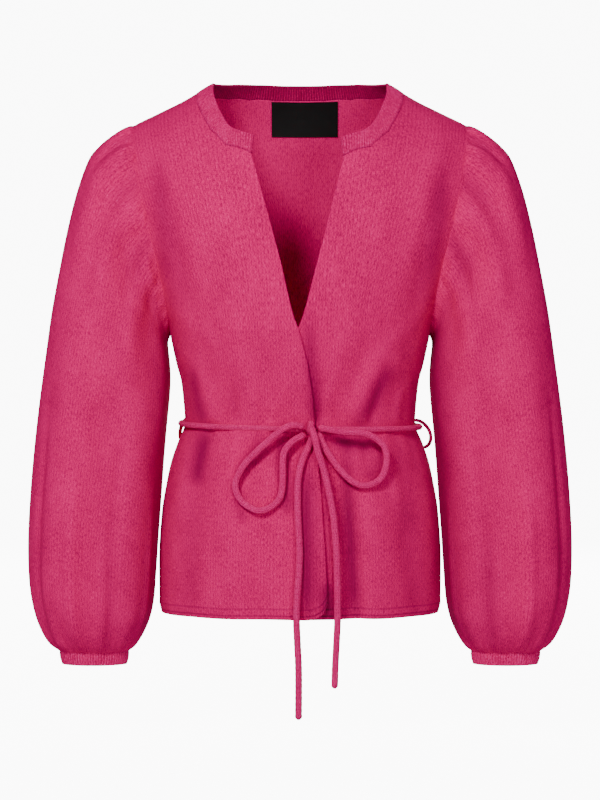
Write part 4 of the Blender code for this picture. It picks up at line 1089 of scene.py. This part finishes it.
def yarn(kind):
    """The material of one kind of knitted surface, made once."""
    name = "brushed_" + kind
    found = bpy.data.materials.get(name)
    if found:
        return found
    group = bpy.data.node_groups.get("brushed_knit") or knit_group()
    settings = bpy.context.scene.cardigan
    shade, body, light = (tuple(getattr(settings, k)) for k in ("shade", "body", "light"))
    colours = (shade, body, light)
    # The inner face's yarn is made a step lighter than the outer face's: painted light for the inside,
    # which the lamps barely reach
    if kind in ("belt", "reverse"):
        between, over = (tuple((a + b) / 2 for a, b in zip(*pair))
                         for pair in ((shade, body), (body, light)))
        colours = (between, over, light)
    if kind == "belt":
        colours = (between,) + CORD_COLOURS
    return knit_material(name, group, colours, *SURFACES[kind])


# Body panels


def fine_places(name):
    """Fine places of a body panel, its front corner rounded, and the lift of its edge."""
    places, lift = panel_grid(name)
    places = crosswise(straight, straight(places, FINE), FINE)
    if name == "right_front":
        wide, high = CORNER
        flat = torso(places[..., 0], places[..., 1], lift)
        away = np.linalg.norm(flat[0] - flat[0, 0], axis=-1)
        rise = high * (1.0 - np.sqrt(1.0 - np.maximum(0.0, 1.0 - away / wide) ** 2))
        fade = np.maximum(0.0, 1.0 - np.arange(len(places)) / (2.0 * FINE))
        places[..., 1] += fade[:, None] * rise[None, :] / (UNDERARM_Z - HEM_Z)
    return places, lift


def hem_relief(rise):
    """How far the hem band stands out at heights over the hem, with its two grooves."""
    relief = HEM_RAISE * (1.0 - ease(rise, *HEM_TOP))
    for height, half, depth in HEM_GROOVES:
        relief = relief - depth * np.exp(-((rise - height) / half) ** 2)
    return relief


def make_panel(name):
    """One knitted panel of the body."""
    places, lift = fine_places(name)
    angle, level = places[..., 0], places[..., 1]
    points = torso(angle, level, lift, creased=True)
    normals = normals_of(points)
    if np.sum(normals[..., 1] * points[..., 1]) < 0.0:
        normals = -normals
    rise = run_up(points)
    points = points + normals * hem_relief(rise)[..., None]
    face = "back" if name == "back" else "front"
    x, z = points[..., 0], points[..., 2]
    # Painted shade: darker colour in the body's deep folds, under the bow and belt, toward the sleeves,
    # and in each crease by its depth
    painted_shade = fold_height(BODY_PAINTED_SHADE, face, x, z) - fold_height(BODY_CREASES, face, x, z) * CREASE_PAINTED_SHADE
    painted_shade = np.clip(painted_shade, 0.0, DARKEST_PAINTED_SHADE)
    v = np.where(level < 1.0, (level - 1.0) * (UNDERARM_Z - HEM_Z), (level - 1.0) * YOKE_LENGTH)
    uv = np.stack((angle * GIRTH_RADIUS, v), axis=-1)
    if np.sum(np.cross(points[0, 1] - points[0, 0], points[1, 0] - points[0, 0]) * normals[0, 0]) < 0.0:
        points, uv, painted_shade, rise = (g[:, ::-1] for g in (points, uv, painted_shade, rise))
    obj = cloth_object(name + "_cloth", "knit", points, uv, PANEL_ROUNDING, painted_shade, rise)
    return dress(obj, name)


# Sleeves


def sleeve_ring(row, side):
    """Points of one sleeve ring, from the outside forward and round, and their radials."""
    ox, oz, ix, iz, depth, forward = row
    outer = np.array((side * ox, -forward, oz))
    inner = np.array((side * ix, -forward, iz))
    centre, half = (outer + inner) / 2, (outer - inner) / 2
    forth = np.array((0.0, -1.0, 0.0))
    turn = 2 * math.pi * np.arange(SLEEVE_POINTS)[:, None] / SLEEVE_POINTS
    points = centre + np.cos(turn) * half + np.sin(turn) * depth * forth
    radial = np.cos(turn) * half / np.linalg.norm(half) ** 2 + np.sin(turn) / depth * forth
    return points, unit(radial)


def armhole_ring(side):
    """The armhole seam as a sleeve ring, moved out until it clears the body's wall."""
    places = [armhole_place(row, side, False) for row in range(ARM_ROWS, -1, -1)]
    places += [armhole_place(row, side, True) for row in range(1, ARM_ROWS)]
    points = np.array([torso(a, l) for a, l in places])
    normals = np.array([torso_normal(a, l) for a, l in places])
    radial = unit((points - points.mean(axis=0)) * (0.0, 1.0, 1.0))
    shift = -SEAM_LAP + WALL / 2 * np.abs(normals[:, 0])
    shift = shift + UNDERARM_EASE * np.maximum(0.0, -radial[:, 2]) ** 2
    outward = np.array((side, 0.0, 0.0))
    return points + shift[:, None] * outward + radial * WALL / 2, radial


def sleeve_fold(table, angle, share):
    """Sum of a sleeve's folds at angles round it and shares of its length."""
    total = 0.0
    for middle, start, end, half, height in table:
        away = (angle - middle + 180.0) % 360.0 - 180.0
        rise, fall = [start + k for k in SLEEVE_FOLD_RISE], [end + k for k in SLEEVE_FOLD_FALL]
        total = total + height * along_sleeve(share, rise, fall) * np.exp(-(away / half) ** 2)
    return total


def along_sleeve(share, rise, fall):
    """1 along a sleeve, coming up from 0 over one stretch and going back over another."""
    return ease(share, *rise) * (1.0 - ease(share, *fall))


def gathers(angle, share, side):
    """Small pleats of a sleeve: the gathers over the cuff, their puckers and the head's."""
    turn = np.radians(angle)
    near = along_sleeve(share, *PLEATED)
    uneven = 0.75 + 0.25 * np.sin(turn * 5.0 + 1.3 * side)
    gather = -GATHER_DEPTH / 2 * along_sleeve(share, *GATHERED) * uneven * np.cos(turn * ARM_ROWS)
    pucker = PUCKER_DEPTH * ease(share, *PUCKERED) * near * np.cos(turn * PUCKERS)
    head = HEAD_DEPTH * (1.0 - ease(share, *HEAD_REACH)) * near * np.cos(turn * HEAD_PLEATS)
    return gather + pucker + head * (0.4 + 0.6 * np.cos(turn / 2.0) ** 2)


def make_sleeve(name, side):
    """One balloon sleeve, gathered into its head and its cuff."""
    rings = [armhole_ring(side)] + [sleeve_ring(row, side) for row in SLEEVE + (SLEEVE_END,)]
    points, radial = (crosswise(refine, refine(np.array(grid), FINE), FINE, True) for grid in zip(*rings))
    rows, columns = points.shape[:2]
    share = (np.arange(rows) / (rows - 1))[:, None]
    angle = (360.0 * np.arange(columns) / columns)[None, :]
    near = along_sleeve(share, *PLEATED)
    creases = sleeve_fold(SLEEVE_CREASES, angle, share)
    out = along_sleeve(share, *FOLDED) * sleeve_fold(SLEEVE_FOLDS, angle, share)
    out = out + gathers(angle, share, side)
    out = out + near * CREASED * creases - WALL / 2
    points = points + radial * out[..., None]
    along = run_up(points).mean(axis=1)
    uv = uv_grid(np.append(angle[0], 360.0) / 360.0 * SLEEVE_GIRTH, -along)
    # Painted shade: darker colour on the sleeve's inner side toward the body, near its head and over its
    # cuff, and in each crease by its depth
    painted_shade = sleeve_fold(SLEEVE_PAINTED_SHADE, angle, share) * SLEEVE_PAINTED_SHADE_WEIGHT[side]
    painted_shade = np.clip(painted_shade - creases * SLEEVE_CREASE_PAINTED_SHADE, 0.0, DARKEST_PAINTED_SHADE) * near
    if side < 0:
        points, uv, painted_shade = points[:, ::-1], uv[:, ::-1], painted_shade[:, ::-1]
    obj = cloth_object(name + "_cloth", "knit", points, uv, SLEEVE_ROUNDING, painted_shade, closed=True)
    return dress(obj, name)


# Ribs


def rib_profile(count):
    """Height of a one by one rib at each sample, rounded on top and narrow in the groove."""
    turn = 2 * math.pi * np.arange(count) / RIB_STEPS
    return RIB_HEIGHT * (np.abs(np.cos(turn / 2)) ** 0.8 - 0.75)


def rib_rise(share, start, climb, first):
    """How far the ribs have risen from the seam at a share of the band's width."""
    return start + (1.0 - start) * math.sin(math.pi * min(1.0, share * climb + first) / 2)


def rib_painted_shade(height, shares):
    """Painted shade of each place of a ribbed band: in the grooves, darker the deeper they lie, and along
    the seam at its start.
    """
    depth = 1.0 - (height - height.min()) / (height.max() - height.min())
    groove = GROOVE_PAINTED_SHADE * depth ** 1.5
    seam = SEAM_PAINTED_SHADE * np.exp(-(np.array(shares) / SEAM_SHARE) ** 2)
    return np.clip(groove[None, :] + seam[:, None], 0.0, DARKEST_PAINTED_SHADE_RIB)


def make_cuff(name, side):
    """One small ribbed cuff."""
    top, radial = sleeve_ring(SLEEVE_END, side)
    low = sleeve_ring(CUFF_END, side)[0]
    top, radial, low = (refine(g, CUFF_FINE, True) for g in (top, radial, low))
    girth = np.linalg.norm(np.roll(top, -1, 0) - top, axis=-1).sum()
    ribs = int(round(girth / RIB_PITCH))
    (top, radial, low), want = even_line(top, (radial, low), ribs * RIB_STEPS, True)
    height = rib_profile(len(top))
    rows = []
    for share in CUFF_SHARES:
        line = top + (low - top) * share
        line[:, 2] -= SEAM * (1.0 - share)
        out = height * rib_rise(share, *CUFF_RISE) + CUFF_BELLY * math.sin(math.pi * share) - WALL / 2
        rows.append(line + radial * out[:, None])
    points = np.array(rows)
    along = np.array(CUFF_SHARES) * np.linalg.norm(low[0] - top[0])
    uv = uv_grid((np.append(want, girth) / girth * ribs + 0.5) * RIB_PITCH, -along)
    if side < 0:
        points, uv = points[:, ::-1], uv[:, ::-1]
    obj = cloth_object(name + "_rib", "rib", points, uv, RIB_ROUNDING, rib_painted_shade(height, CUFF_SHARES),
                       closed=True)
    return dress(obj, name)


def neck_line():
    """Points and normals along the neck seam, from the right front round to the left one."""
    front = slice(0, NECK_COLUMNS * FINE + 1)
    ridge = RIDGE_COLUMNS * FINE
    line, normals = [], []
    for name, columns in (("right_front", front), ("back", slice(ridge, BACK_COLUMNS * FINE + 1 - ridge)),
                          ("left_front", front)):
        places, lift = fine_places(name)
        top = places[-1, columns]
        if name != "right_front":
            top = top[::-1]
        line += [torso(a, l, lift) for a, l in top]
        normals += [torso_normal(a, l, lift) for a, l in top]
    return np.array(line), np.array(normals)


def band_ways(line, normals, want):
    """The way that the neckband stands at each place of its seam, leaning outward in front."""
    along = unit(np.gradient(steady(line, LINE_REACH), axis=0))
    ways = np.cross(normals, along)
    ways = unit(ways * np.where(ways[:, 2:] < 0.0, -1.0, 1.0))
    to_end = np.minimum(want, want[-1] - want)
    lean = BAND_LEAN - END_LEAN * (1.0 - ease(to_end, 0.0, END_REACH))
    ways[:, 0] += np.sign(line[:, 0]) * lean * (1.0 - ease(line[:, 1], *LEAN_DEPTHS))
    ways = steady(ways, WAY_REACH)
    return unit(ways - normals * np.sum(ways * normals, axis=-1, keepdims=True))


def make_neckband():
    """Ribbed stand along the neck seam, from one front edge round the back to the other."""
    line, normals = neck_line()
    ribs = int(round(np.linalg.norm(np.diff(line, axis=0), axis=-1).sum() / RIB_PITCH))
    (line, normals), want = even_line(line, (normals,), ribs * RIB_STEPS)
    normals = unit(steady(normals, NORMAL_REACH))
    ways = band_ways(line, normals, want)
    front = BAND_FRONT * BAND_NARROWING
    width = front + (BAND_BACK - front) * ease(line[:, 1], *BAND_DEPTHS)
    at, half, extra = SHOULDER_EXTRA
    width = width + extra * np.exp(-((line[:, 1] - at) / half) ** 2)
    inner = line + ways * width[:, None]
    for reach in EDGE_REACHES:
        inner = steady(inner, reach)
    start = line + ways * BAND_SEAM
    height = rib_profile(len(line))
    rows = []
    for share in BAND_SHARES:
        out = height * rib_rise(share, *BAND_RISE) + BAND_BELLY * math.sin(math.pi * share)
        rows.append(start + (inner - start) * share + normals * out[:, None])
    points = np.array(rows)
    uv = uv_grid((want / want[-1] * ribs + 0.5) * RIB_PITCH, np.array(BAND_SHARES) * BAND_FRONT)
    facing = np.cross(points[0, 1] - points[0, 0], points[1, 0] - points[0, 0])
    if np.dot(facing, normals[0]) < 0.0:
        points, uv = points[:, ::-1], uv[:, ::-1]
    obj = cloth_object("neckband_rib", "rib", points, uv, RIB_ROUNDING, rib_painted_shade(height, BAND_SHARES))
    return dress(obj, "neckband")


# Belt, bow and thread loops


def cord_mesh(name, route, diameter, node):
    """A knitted round cord along a route, its wales raised, closed at both ends."""
    fine = refine(np.array(route, dtype=float), ROUTE_FINE)
    length = np.linalg.norm(np.diff(fine, axis=0), axis=-1).sum()
    count = max(8, int(round(length / (diameter * CORD_STEP))))
    path = even_line(fine, (), count)[0][0]
    tangents = unit(np.gradient(path, axis=0))
    across = np.cross(tangents[0], (0.0, 0.0, 1.0))
    if np.linalg.norm(across) < 0.1:
        across = np.cross(tangents[0], (0.0, 1.0, 0.0))
    across = unit(across)
    runs = np.linspace(0.0, length, len(path))
    turn = 2 * math.pi * np.arange(CORD_SIDES) / CORD_SIDES
    wales = np.cos(turn * CORD_WALES)
    rows = []
    for k, (centre, tangent) in enumerate(zip(path, tangents)):
        across = unit(across - tangent * np.dot(across, tangent))
        over = np.cross(tangent, across)
        to_end = min(k, len(path) - 1 - k)
        cap = math.sqrt(1.0 - (1.0 - min(1.0, (to_end + CAP_FIRST) / CAP_STEPS)) ** 2)
        stitches = np.sin(runs[k] / CORD_COURSE * 2 * math.pi + STITCH_WAVE * wales)
        radius = diameter / 2 * (CORD_FULL + WALE_SHARE * wales + STITCH_SHARE * stitches) * cap
        ring = np.cos(turn)[:, None] * across + np.sin(turn)[:, None] * over
        rows.append(centre + ring * radius[:, None])
    uv = uv_grid(np.linspace(0.0, math.pi * diameter, CORD_SIDES + 1), runs)
    return dress(tube_object(name, np.array(rows), uv, yarn("belt")), node), path, length


def from_knot(way):
    """Two places on the way a strand leaves the knot: its clear face, and a little further."""
    way = np.array(way) / np.linalg.norm(way)
    reach = 1.0 / math.sqrt(sum((w / r) ** 2 for w, r in zip(way, KNOT_HALF)))
    return [np.array(KNOT) + way * (reach + further) for further in (SEAM, KNOT_LEAVE * CORD)]


def belt_height(angle):
    """Height of the tight belt at an angle round the waist from centre front."""
    return WAIST_Z - FRONT_DROP * math.cos(angle) - SIDE_DROP * math.sin(angle)


def waist_route():
    """Route of the tight belt round the waist, a little off the cloth's own surface."""
    route = []
    for k in range(BELT_STEPS + 1):
        angle = BELT_START + BELT_TURN * k / BELT_STEPS
        turn = math.atan2(math.sin(angle) * BELT_OVAL, math.cos(angle))
        level = level_of(0.0, belt_height(angle))
        half, front, back = section(level)[:3]
        away = front if math.cos(turn) > 0.0 else back
        across = math.atan2(math.sin(turn) / half, math.cos(turn) / away)
        at = torso(across, level, LAP_LIFT if abs(across) < LAP_ANGLE else 0.0)
        out = np.array((math.sin(turn), -math.cos(turn), 0.0))
        route.append(at + out * (WALL / 2 + WAIST_CORD / 2 + BELT_CLEAR))
    return route


def knot_route():
    """One wrap of the belt round the strands at the middle of the bow."""
    route = []
    for k in range(WRAP_STEPS + 1):
        turn = math.radians(WRAP_START + WRAP_TURN * k / WRAP_STEPS)
        x = KNOT[0] + WRAP_SLANT * (k / WRAP_STEPS - 0.5)
        route.append((x, KNOT[1] - WRAP_DEEP * math.sin(turn), KNOT[2] + WRAP_HIGH * math.cos(turn)))
    return route


def seat(out, height):
    """Place on the cloth's outer face in a level direction from the axis, and its way out."""
    level = level_of(0.0, height)
    turns = np.linspace(0.0, math.pi, SEAT_RAYS) * np.sign(out[0])
    points = torso(turns, level)
    best = int(np.argmax(points[:, :2] @ out[:2] / np.linalg.norm(points[:, :2], axis=-1)))
    normal = torso_normal(turns[best], level)
    normal = normal * np.sign(np.dot(normal, out))
    return points[best] + normal * WALL / 2, normal


def loop_route(side, behind, stand):
    """Route of a thread loop beside a side seam, round the belt."""
    turn = math.radians(behind)
    out = np.array((side * math.cos(turn), math.sin(turn), 0.0))
    belt = belt_height(side * (math.pi / 2 + turn))
    (top, top_way), (low, low_way) = (seat(out, belt + rise) for rise in (LOOP_TOP, -LOOP_DOWN))
    route = []
    for k in range(LOOP_STEPS + 1):
        round_by = math.pi * k / LOOP_STEPS
        share = (1.0 - math.cos(round_by)) / 2
        way = top_way + (low_way - top_way) * share
        away = LOOP_SEAT + (LOOP_NEAR + LOOP_STAND * stand) * math.sin(round_by) ** 0.8
        route.append(top + (low - top) * share + way / np.linalg.norm(way) * away)
    return route


def make_belt():
    """Tie the belt: the bow's loops, its free ends, the waist, the knot and the thread loops."""
    for name, route, ways in (("bow_loop_right", RIGHT_BOW, RIGHT_BOW_WAYS),
                              ("bow_loop_left", LEFT_BOW, LEFT_BOW_WAYS)):
        route = from_knot(ways[0]) + [np.array(p) for p in route] + from_knot(ways[1])[::-1]
        obj, path, length = cord_mesh(name + "_cord", route, CORD, name)
    for name, route, way in (("belt_end_long", LONG_END, LONG_END_WAY),
                             ("belt_end_short", SHORT_END, SHORT_END_WAY)):
        route = from_knot(way) + [np.array(p) for p in route]
        obj, path, length = cord_mesh(name + "_cord", route, CORD, name)
    obj, path, length = cord_mesh("belt_waist_cord", waist_route(), WAIST_CORD, "belt_waist")
    cord_mesh("belt_knot_cord", knot_route(), KNOT_CORD, "belt_knot")
    for name, side, behind, stand in BELT_LOOPS:
        cord_mesh("belt_loop_" + name + "_thread", loop_route(side, behind, stand), LOOP_THREAD,
                  "belt_loop_" + name)


# Stage


def bright_where_seen(tree, socket, rest):
    """Feed a strength: the backdrop's for the camera's own rays, and the rest for all rays."""
    seen = tree.nodes.new("ShaderNodeLightPath").outputs["Is Camera Ray"]
    tree.links.new(math_node(tree, "MULTIPLY_ADD", seen, BACKDROP, rest), socket)


def make_floor():
    """Pale floor under the belt's longer end."""
    bpy.ops.mesh.primitive_grid_add(x_subdivisions=4, y_subdivisions=4, size=FLOOR_SIZE,
                                    location=(0.0, 0.0, 0.0))
    floor = bpy.context.object
    floor.name = "floor"
    for vertex in floor.data.vertices:
        vertex.co.z = CAD_BOUNDS[0][2] - FLOOR_DROP
    material, tree, shader = new_material(
        "pale_floor", Base_Color=(*(FLOOR_GREY,) * 3, 1.0), Roughness=0.9, Emission_Color=WHITE)
    bright_where_seen(tree, shader.inputs["Emission Strength"], 0.0)
    floor.data.materials.append(material)


def make_sky(strength):
    """White backdrop that gives only a little light."""
    world = bpy.data.worlds.new("studio")
    world.use_nodes = True
    sky = world.node_tree.nodes["Background"]
    sky.inputs["Color"].default_value = WHITE
    bright_where_seen(world.node_tree, sky.inputs["Strength"], AMBIENT * strength)
    bpy.context.scene.world = world


def make_lamps(strength):
    """Soft square lamps, all aimed at the middle of the cardigan."""
    for name, at, size, power in LAMPS:
        light = bpy.data.lights.new(name, "AREA")
        light.shape = "SQUARE"
        light.size = size
        light.energy = power * strength
        lamp = bpy.data.objects.new(name, light)
        lamp.location = at
        lamp.rotation_euler = (Vector(LAMP_AIM) - Vector(at)).to_track_quat("-Z", "Y").to_euler()
        bpy.context.scene.collection.objects.link(lamp)


def make_camera():
    """Level camera in front."""
    camera = bpy.data.cameras.new("camera")
    camera.lens = LENS
    viewer = bpy.data.objects.new("camera", camera)
    viewer.location = CAMERA_AT
    viewer.rotation_euler = (math.pi / 2, 0.0, 0.0)
    bpy.context.scene.collection.objects.link(viewer)
    bpy.context.scene.camera = viewer


# The add-on


class CardiganSettings(bpy.types.PropertyGroup):
    """Colours and light that a user would change."""
    body: bpy.props.FloatVectorProperty(
        name="Body", description="Colour of the yarn", default=(0.74, 0.0015, 0.142),
        subtype="COLOR", size=3)
    shade: bpy.props.FloatVectorProperty(
        name="Shade", description="Colour between the fibres", default=(0.40, 0.0030, 0.082),
        subtype="COLOR", size=3)
    light: bpy.props.FloatVectorProperty(
        name="Nap", description="Colour of the brushed nap", default=(0.93, 0.010, 0.205),
        subtype="COLOR", size=3)
    strength: bpy.props.FloatProperty(
        name="Light", description="Strength of the studio light", default=1.0, min=0.0)


class CARDIGAN_OT_stage(bpy.types.Operator):
    """Set the floor, the soft light and the camera"""
    bl_idname = "cardigan.stage"
    bl_label = "Studio"

    def execute(self, context):
        strength = context.scene.cardigan.strength
        make_floor()
        make_sky(strength)
        make_lamps(strength)
        make_camera()
        return {"FINISHED"}


class CARDIGAN_OT_belt(bpy.types.Operator):
    """Tie the knitted belt, its bow and its free ends"""
    bl_idname = "cardigan.belt"
    bl_label = "Belt and bow"

    def execute(self, context):
        make_belt()
        return {"FINISHED"}


class CARDIGAN_OT_body(bpy.types.Operator):
    """Knit the two fronts and the back"""
    bl_idname = "cardigan.body"
    bl_label = "Body panels"

    def execute(self, context):
        for name, flat, area in PANEL_CUTS:
            make_panel(name)
        return {"FINISHED"}


class CARDIGAN_OT_sleeves(bpy.types.Operator):
    """Knit the two gathered sleeves"""
    bl_idname = "cardigan.sleeves"
    bl_label = "Sleeves"

    def execute(self, context):
        for name, side in (("sleeve_right", -1), ("sleeve_left", 1)):
            make_sleeve(name, side)
        return {"FINISHED"}


class CARDIGAN_OT_ribs(bpy.types.Operator):
    """Knit the ribbed neckband and cuffs"""
    bl_idname = "cardigan.ribs"
    bl_label = "Neckband and cuffs"

    def execute(self, context):
        make_neckband()
        for name, side in (("cuff_right", -1), ("cuff_left", 1)):
            make_cuff(name, side)
        return {"FINISHED"}


class CARDIGAN_OT_label(bpy.types.Operator):
    """Finish the plain label"""
    bl_idname = "cardigan.label"
    bl_label = "Label"

    def execute(self, context):
        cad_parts["label"].material_slots[0].material = label_material()
        return {"FINISHED"}


class CARDIGAN_PT_panel(bpy.types.Panel):
    """Lists the pieces and the studio"""
    bl_idname = "CARDIGAN_PT_panel"
    bl_label = "Wrap cardigan"
    bl_space_type = "VIEW_3D"
    bl_region_type = "UI"
    bl_category = "Cardigan"

    def draw(self, context):
        for name in ("body", "shade", "light", "strength"):
            self.layout.prop(context.scene.cardigan, name)
        for operator in OPERATORS:
            self.layout.operator(operator.bl_idname)


OPERATORS = (CARDIGAN_OT_stage, CARDIGAN_OT_belt, CARDIGAN_OT_body, CARDIGAN_OT_sleeves,
             CARDIGAN_OT_ribs, CARDIGAN_OT_label)
CLASSES = (CardiganSettings,) + OPERATORS + (CARDIGAN_PT_panel,)


def register():
    for cls in CLASSES:
        bpy.utils.register_class(cls)
    bpy.types.Scene.cardigan = bpy.props.PointerProperty(type=CardiganSettings)


def unregister():
    del bpy.types.Scene.cardigan
    for cls in reversed(CLASSES):
        bpy.utils.unregister_class(cls)


def main():
    """Make every piece and the stage."""
    register()
    for operator in OPERATORS:
        group, name = operator.bl_idname.split(".")
        getattr(getattr(bpy.ops, group), name)()


if __name__ == "__main__":
    main()
